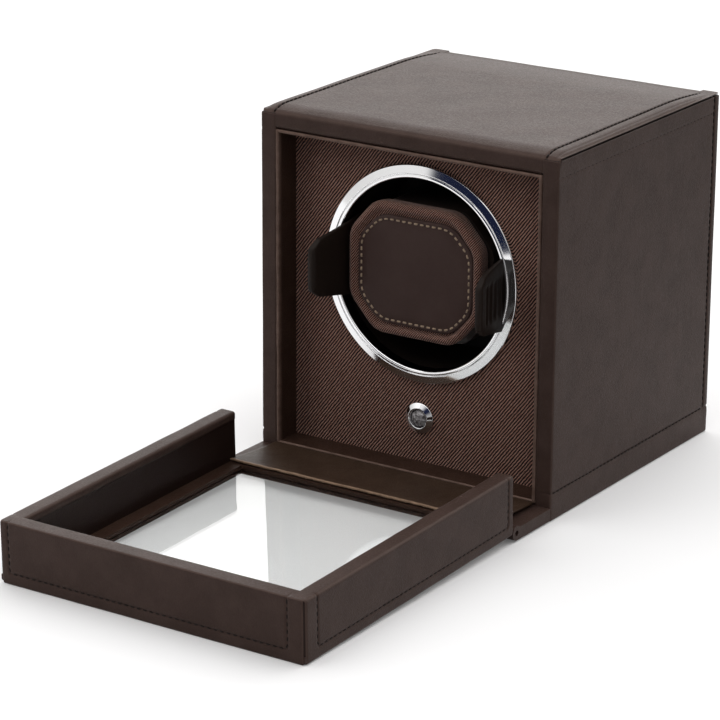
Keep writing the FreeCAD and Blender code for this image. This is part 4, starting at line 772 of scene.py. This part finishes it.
def far_wall():
    """The far wall: a soft box between the corners, darkened on its inner faces below the lining's edge."""
    low = (-CORNER_X, LID_REACH - LID_WALL, -0.1)
    high = (CORNER_X, FAR_REACH + 0.1, LID_DEPTH + 0.1)
    seams = ((NEAR_SEAM - EDGE_X, EDGE_X - END_SEAM), (), (WALL_SEAM, LID_DEPTH - LINING_DROP))
    points, faces, wear_and_shade = soft_box(low, high, 0.8, 2.0, seams, far_wall_shape)
    # Inner faces below the lining's edge are darkened.
    lined = points[:, 2] < LID_DEPTH - LINING_DROP + 0.1
    inside = (points[:, 1] < LID_REACH - LID_WALL + LINING_INSET) & lined
    return on_lid((points, faces, np.where(inside, DARK_INSIDE_AND_SHADE, wear_and_shade)))


piece("wall_leather_right", side_wall(), LOOKS["leather"], "lid", ("lid_wall_right",))
piece("wall_leather_left", mirrored(side_wall()), LOOKS["leather"], "lid", ("lid_wall_left",))
piece("wall_leather_far", far_wall(), LOOKS["leather"], "lid", ("lid_wall_top",))


def lid_stitches():
    """The rows of dark stitches round the outside of the lid's walls."""
    outer, far, top = OUTER_X - 0.3, FAR_REACH - 0.25, LID_DEPTH - 0.6
    near_u, far_u, side_x = NEAR_REACH + NEAR_SEAM, LID_REACH - END_SEAM, EDGE_X - END_SEAM
    rows = []
    for sign in (-1, 1):
        x = sign * outer
        corners = [(x, near_u, top), (x, near_u, WALL_SEAM), (x, far_u, WALL_SEAM), (x, far_u, top)]
        rows.append(flat_stitches(lid_points(corners), 3, (sign, 0, 0)))
    left_x = NEAR_SEAM - EDGE_X
    corners = [(left_x, far, top), (left_x, far, WALL_SEAM), (side_x, far, WALL_SEAM), (side_x, far, top)]
    rows.append(flat_stitches(lid_points(corners), 3, lid_ways((0, 1, 0))))
    return joined(*rows)


piece("lid_stitches", lid_stitches(), LOOKS["thread"], "lid")


STRIP_THICK = 0.9
STRIP_RUN = 36
STRIP_FAR_Z = 8.1
STRIP_RISE = 2.4


def hinge_strip():
    """A thin leather strip over the hinge. With run from 0 at the case to 1 at the glass, its upper
    face rises with run to the power 1.6, under slow waves. Its near edge is cut rough."""
    across = np.linspace(STRIP_LOW[0], STRIP_HIGH[0], 136)
    share = np.linspace(0, 1, 40)
    side, run = (part.ravel() for part in np.meshgrid(across, share, indexing="ij"))
    flat = np.stack([side, run * STRIP_RUN, 0 * run], -1)
    wave = 0.22 * ripple(flat, 26, 21) + 0.1 * ripple(flat, 8, 22)
    rough = 0.35 * ripple(flat * (1, 0, 0), 3, 23) * run**8
    far_y, near_y = STRIP_HIGH[1] - 0.3, STRIP_LOW[1] + 1.0
    depth = far_y + (near_y - far_y) * run + rough
    height = STRIP_FAR_Z + STRIP_RISE * run**1.6 + wave * np.minimum(run * 4, 1)
    upper = np.stack([side, depth, height], -1)
    lower = upper - (0, 0, STRIP_THICK)
    rows, columns, count = len(across), len(share), len(upper)
    start = np.arange(columns)
    near_edge = np.arange(1, rows) * columns + columns - 1
    end = (rows - 1) * columns + np.arange(columns - 2, -1, -1)
    far_edge = np.arange(rows - 2, 0, -1) * columns
    rim = np.concatenate([start, near_edge, end, far_edge])
    following = np.roll(rim, -1)
    band = np.stack([rim, following, following + count, rim + count], -1)
    faces = grid(rows, columns)
    frayed = (run > 0.97) * 1.0
    faces = np.concatenate([faces, faces[:, ::-1] + count, band])
    return np.concatenate([upper, lower]), faces, np.concatenate([frayed, frayed])


strip = piece("hinge_strip", hinge_strip(), LOOKS["strip_leather"], None)
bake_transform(strip)
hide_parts("hinge_cover")


# The cuff

# Half width, half height, halves of the top side and of the upright side, and the corners' radius.
PLATE_HALVES = (PLATE_HIGH[0], (PLATE_HIGH[2] - PLATE_LOW[2]) / 2, 18.6, 13.2, 13.0)
PAD_HALVES = (33.8, 30.0, 20.4, 14.8, 12.0)
CUFF_Z = RING_Z + 1.2

PLATE_FRONT = PLATE_LOW[1] - 0.1
PLATE_SEAM = 1.9
PAD_SHIFT = -0.9


def plate_surface():
    """The stitched plate: a flat octagon with round corners, a shallow furrow along its stitches and
    a rounded edge."""
    outline, outwards = octagon(*PLATE_HALVES, arc=9, straight=20)
    front, back = PLATE_FRONT, PLATE_HIGH[1] + 0.4
    middle = [(0.9, share, front) for share in (0.0, 0.2, 0.4, 0.6, 0.8)]
    furrow = [(2.6, 1.0, front), (2.2, 1.0, front + 0.1), (1.9, 1.0, front + 0.14), (1.5, 1.0, front + 0.03)]
    edge = [(0.9, 1.0, front - 0.02), (0.45, 1.0, front + 0.12), (0.12, 1.0, front + 0.42)]
    edge = edge + [(0.0, 1.0, front + 0.8)]
    rear = [(0.0, 1.0, back), (0.0, 0.0, back)]
    return cushion(outline, outwards, middle + furrow + edge + rear, CUFF_Z)


def plate_stitches():
    """A row of pale stitches in the plate's furrow."""
    outline, outwards = octagon(*PLATE_HALVES, arc=9, straight=20)
    ring = outline - outwards * PLATE_SEAM
    ring = np.concatenate([ring, ring[:1]])
    path = np.stack([ring[:, 0], np.full(len(ring), PLATE_FRONT + 0.05), ring[:, 1] + CUFF_Z], -1)
    facing = np.tile((0.0, -1.0, 0.0), (len(path), 1))
    return stitches(path, facing, pitch=3.0, share=0.72, radius=0.46, rise=0.12)


piece("plate_leather", plate_surface(), LOOKS["plate_leather"], "cuff", ("cuff_plate",))
piece("plate_stitches", plate_stitches(), LOOKS["tan_thread"], "cuff")


def pad_surface():
    """The padded cushion round the plate, and where its cloth lies flat. A groove parts it from the
    plate. Outside the groove its lip swells forwards, and its flank draws in towards the back. The
    cloth is laid out from the middle, each row as far out as the profile has run."""
    outline, outwards = octagon(*PAD_HALVES, arc=9, straight=24)
    front, back = PLATE_HIGH[1], PAD_HIGH[1]
    groove = 4.3
    middle = [(groove, share, 0.2) for share in (0.0, 0.25, 0.5, 0.75, 1.0)]
    lip = [
        (3.9, 1.0, -0.2), (3.5, 1.0, -0.8), (3.0, 1.0, -1.2), (2.4, 1.0, -1.4), (1.8, 1.0, -1.35),
        (1.3, 1.0, -1.1), (0.75, 1.0, -0.75), (0.3, 1.0, -0.3), (0.05, 1.0, 0.3), (0.0, 1.0, 1.2)]
    flank = [(0.15, 1.0, 3.0), (0.5, 1.0, 5.0), (1.0, 1.0, 6.8), (1.7, 1.0, 8.2)]
    rear = [(2.4, 1.0, back - front), (2.4, 0.0, back - front)]
    profile = middle + lip + flank + rear
    deep = [(inset, share, front + depth) for inset, share, depth in profile]
    points, faces, wear_and_shade = cushion(outline, outwards, deep, CUFF_Z + 0.3)
    inset, share, depth = np.array(profile).T
    run = np.cumsum(np.hypot(np.diff(inset, prepend=inset[0]), np.diff(depth, prepend=depth[0])))
    start = outline - outwards * groove
    cloth = start * share[:, None, None] + outwards * (run * (share == 1))[:, None, None]
    return (points + (PAD_SHIFT, 0, 0), faces, wear_and_shade), cloth.reshape(-1, 2) * MM


pad, cloth = pad_surface()
fine_twill = twill_look("fine_twill", 1.08, "cloth")
cuff_pad = piece("pad_twill", pad, fine_twill, "cuff", ("cuff_pad",), cloth)

TAB_ROOT_Y = -48.0
TAB_SHOULDER_Y = -77.0
TAB_TIP_Y = -82.0


def tab_surface(side, aside, lift):
    """A side tab: a wing of rounded cross-section, lofted from its root to its tip. Half its height
    falls from the root to the shoulder and on to the tip, and its middle flares outwards with the
    square of the run. Ribs stand in a shallow hollow outside. The wing is then moved outwards by
    aside and up by lift. Behind it are its foot and stem, which stay."""
    root, shoulder, tip = TAB_ROOT_Y, TAB_SHOULDER_Y, TAB_TIP_Y
    run = np.concatenate([np.linspace(0, 0.93, 44), 1 - 0.07 * np.linspace(0.9, 0, 7) ** 1.6])
    run = np.concatenate([[0.0], run, [1.0]])
    scale = np.ones(len(run))
    scale[0] = scale[-1] = 0.0
    depth = root + (tip - root) * run
    stations, halves = [tip, tip + 0.6, tip + 1.8, shoulder, root], [8.6, 9.9, 10.6, 13.0, 18.2]
    half = np.interp(depth, stations, halves) * scale
    thick = np.interp(run, [0, 0.5, 0.97, 1.0], [1.0, 1.2, 1.9, 1.25]) * scale
    middle = 37.8 + 0.6 * run + 2.6 * run**2
    angle = np.linspace(0, 2 * math.pi, 72, endpoint=False)

    def squared(value):
        """A sine or cosine drawn out towards 1, which squares the section."""
        return np.sign(value) * np.abs(value) ** 0.3

    high = half[:, None] * squared(np.cos(angle))
    across = middle[:, None] + thick[:, None] * squared(np.sin(angle))
    hollow = step_up(-depth, 58, 59.5) * step_up(depth, shoulder, shoulder + 1.5)
    hollow = hollow[:, None] * step_up(9.0 - np.abs(high), 0, 1.2) * (np.sin(angle) > 0.1)
    ribs = 0.5 + 0.5 * np.cos((depth + 60) * 2 * math.pi / 4.6)[:, None]
    across = across - hollow * (0.75 - 0.7 * ribs**2)
    level = np.repeat(depth[:, None], len(angle), 1)
    points = np.stack([across + aside, level, high + RING_Z + lift], -1).reshape(-1, 3)
    wing = (points, grid(len(run), len(angle), ring=True), np.zeros(len(points)))
    foot = soft_box((36.9, -48.5, RING_Z - 8), (38.7, -14.4, RING_Z + 8), 0.4, 4.0)
    stem = soft_box((26.9, -41.9, RING_Z - 4.9), (37.2, -36.1, RING_Z + 4.9), 0.4, 4.0)
    surface = joined(wing, foot, stem)
    return surface if side > 0 else mirrored(surface)


# The right wing's shift of 3.4 mm outwards is given, and takes it up to 2.8 mm into the chrome ring.
# The left wing, with no shift, is clear of the ring.
for name, side, aside, lift in (("right", 1, 3.4, -1.6), ("left", -1, 0.0, 1.0)):
    surface, replaced = tab_surface(side, aside, lift), ("cuff_tab_" + name,)
    piece("tab_wing_" + name, surface, LOOKS["tab_plastic"], "tab_" + name, replaced)


# Stage, light and camera


class Room:
    """The node tree of the world, with short ways to add and join nodes."""

    def __init__(self):
        self.world = bpy.data.worlds.new("soft_room")
        self.world.use_nodes = True
        self.tree = self.world.node_tree

    def join(self, source, node, socket):
        """Joins a node to another's input, or gives the input a plain value."""
        if isinstance(source, bpy.types.NodeSocket):
            self.tree.links.new(source, node.inputs[socket])
        else:
            node.inputs[socket].default_value = source

    def math(self, operation, first, second=0.0):
        """A sum, product or function of up to two values."""
        node = self.tree.nodes.new("ShaderNodeMath")
        node.operation = operation
        self.join(first, node, 0)
        self.join(second, node, 1)
        return node.outputs[0]

    def ramp(self, value, low, high, to_low=0.0, to_high=1.0):
        """A smooth step of a value between two bounds."""
        node = self.tree.nodes.new("ShaderNodeMapRange")
        node.interpolation_type = "SMOOTHSTEP"
        for socket, source in enumerate((value, low, high, to_low, to_high)):
            self.join(source, node, socket)
        return node.outputs[0]


def make_world():
    """Light that brightens from the horizon to the zenith. It is brighter low behind the object and a
    little brighter in front of it, and dimmer low on the right. A dark blue patch stands in front of
    the object, as a dark thing behind the camera would cast. The camera itself sees plain white."""
    room = Room()
    way = room.tree.nodes.new("ShaderNodeTexCoord").outputs["Generated"]
    parts = room.tree.nodes.new("ShaderNodeSeparateXYZ")
    room.join(way, parts, 0)
    across, away, up = parts.outputs
    turn = room.math("DEGREES", room.math("ARCTAN2", across, room.math("MULTIPLY", away, -1.0)))
    rise = room.math("DEGREES", room.math("ARCSINE", up))
    sides = room.math("MULTIPLY", room.ramp(turn, -30, -27), room.ramp(turn, 20, 36, 1.0, 0.0))
    band = room.math("MULTIPLY", room.ramp(rise, -14, -8), room.ramp(rise, 28, 44, 1.0, 0.0))
    patch = room.math("MULTIPLY", sides, band)
    low = room.math("MULTIPLY", room.ramp(away, 0.1, 0.7), room.ramp(rise, 30, 70, 1.0, 0.0))
    dim = room.math("MULTIPLY", room.ramp(across, 0.1, 0.9), room.ramp(rise, 30, 75, 0.6, 0.0))
    strength = room.math("ADD", room.ramp(up, -0.1, 1.0, 0.62, 1.35), low)
    strength = room.math("ADD", strength, room.ramp(away, -0.9, -0.1, 0.25, 0.0))
    strength = room.math("MULTIPLY", strength, room.math("SUBTRACT", 1.0, dim))
    mix = room.tree.nodes.new("ShaderNodeMix")
    mix.data_type = "RGBA"
    warm_white, dark_blue = rgb(1.0, 0.99, 0.975), rgb(0.012, 0.016, 0.04)
    for socket, source in ((0, patch), (6, warm_white), (7, dark_blue)):
        room.join(source, mix, socket)
    background = room.tree.nodes["Background"]
    room.join(mix.outputs[2], background, "Color")
    room.join(strength, background, "Strength")
    white = room.tree.nodes.new("ShaderNodeBackground")
    choice = room.tree.nodes.new("ShaderNodeMixShader")
    room.join(room.tree.nodes.new("ShaderNodeLightPath").outputs["Is Camera Ray"], choice, 0)
    room.join(background.outputs[0], choice, 1)
    room.join(rgb(1.0, 1.0, 1.0), white, "Color")
    room.join(white.outputs[0], choice, 2)
    room.join(choice.outputs[0], room.tree.nodes["World Output"], "Surface")
    bpy.context.scene.world = room.world


def make_stage():
    """A wide pale floor under the felt, which the camera, metal and glass see as white, and a
    large soft lamp above."""
    mesh = bpy.data.meshes.new("floor")
    reach, front_edge = 6.0, -0.75
    corners = [(-reach, front_edge, 0), (reach, front_edge, 0), (reach, reach, 0), (-reach, reach, 0)]
    mesh.from_pydata(corners, [], [(0, 1, 2, 3)])
    floor = bpy.data.objects.new("floor", mesh)
    look = Look("floor", Roughness=0.9)
    look.set(look.shader, {"Specular IOR Level": 0.0, "Emission Color": rgb(1.0, 1.0, 1.0)})
    path = look.add("LightPath").outputs
    pale = look.mix(look.noise(400), rgb(0.84, 0.84, 0.85), rgb(0.85, 0.85, 0.86))
    parts = look.add("SeparateXYZ")
    look.set(parts, {"0": look.where})
    right = look.spread(parts.outputs[0], 0.04, 0.3)
    gloss = look.mix(look.math("MULTIPLY", path["Is Glossy Ray"], right), pale, rgb(0.4, 0.39, 0.39))
    bounce = look.mix(right, rgb(0.46, 0.45, 0.45), rgb(0.16, 0.155, 0.155))
    look.color(look.mix(path["Is Diffuse Ray"], gloss, bounce))
    seen = look.math("ADD", path["Is Camera Ray"], path["Is Glossy Ray"])
    through = look.math("MULTIPLY", path["Is Transmission Ray"], 0.2)
    glow = look.math("MULTIPLY_ADD", look.math("MINIMUM", seen, 1.0), 0.08, through)
    look.set(look.shader, {"Emission Strength": glow})
    mesh.materials.append(look.material)
    bpy.context.scene.collection.objects.link(floor)
    lamp = bpy.data.lights.new("overhead", "AREA")
    lamp.shape = "DISK"
    lamp.size = 1.2
    lamp.energy = 3
    item = bpy.data.objects.new("overhead", lamp)
    item.location = (0.1, 0.3, 1.7)
    item.rotation_euler = (math.radians(-10), 0, 0)
    bpy.context.scene.collection.objects.link(item)


# The photograph's view: azimuth, elevation and roll in degrees, about a point aimed at. The camera
# stands at a distance from that point, and is then moved along its own right and its own up, both
# by less than nought, so to the left and down. Lengths are in metres, and the lens in millimetres.
VIEW_ANGLES = (33.6041, 18.4821, 0.3025)
AIM = (0, 0.010, 0.080)
DISTANCE = 1.4779
MOVED_RIGHT = -0.0634417
MOVED_UP = -0.0409233
LENS = 164.22


def make_camera():
    """The camera of the photograph's view."""
    azimuth, elevation, roll = (math.radians(angle) for angle in VIEW_ANGLES)
    level = math.cos(elevation)
    away = Vector((math.sin(azimuth) * level, -math.cos(azimuth) * level, math.sin(elevation)))
    right = (-away).cross(Vector((0, 0, 1))).normalized()
    up = right.cross(-away)
    right, up = right * math.cos(roll) + up * math.sin(roll), up * math.cos(roll) - right * math.sin(roll)
    place = Vector(AIM) + away * DISTANCE + right * MOVED_RIGHT + up * MOVED_UP
    camera = bpy.data.cameras.new("camera")
    camera.lens = LENS
    camera.sensor_width = 36
    item = bpy.data.objects.new("camera", camera)
    columns = (right, up, away, place)
    item.matrix_world = Matrix([[column[k] for column in columns] for k in range(3)] + [[0, 0, 0, 1]])
    bpy.context.scene.collection.objects.link(item)
    bpy.context.scene.camera = item


make_world()
make_stage()
make_camera()
bpy.context.scene.view_settings.view_transform = "Standard"
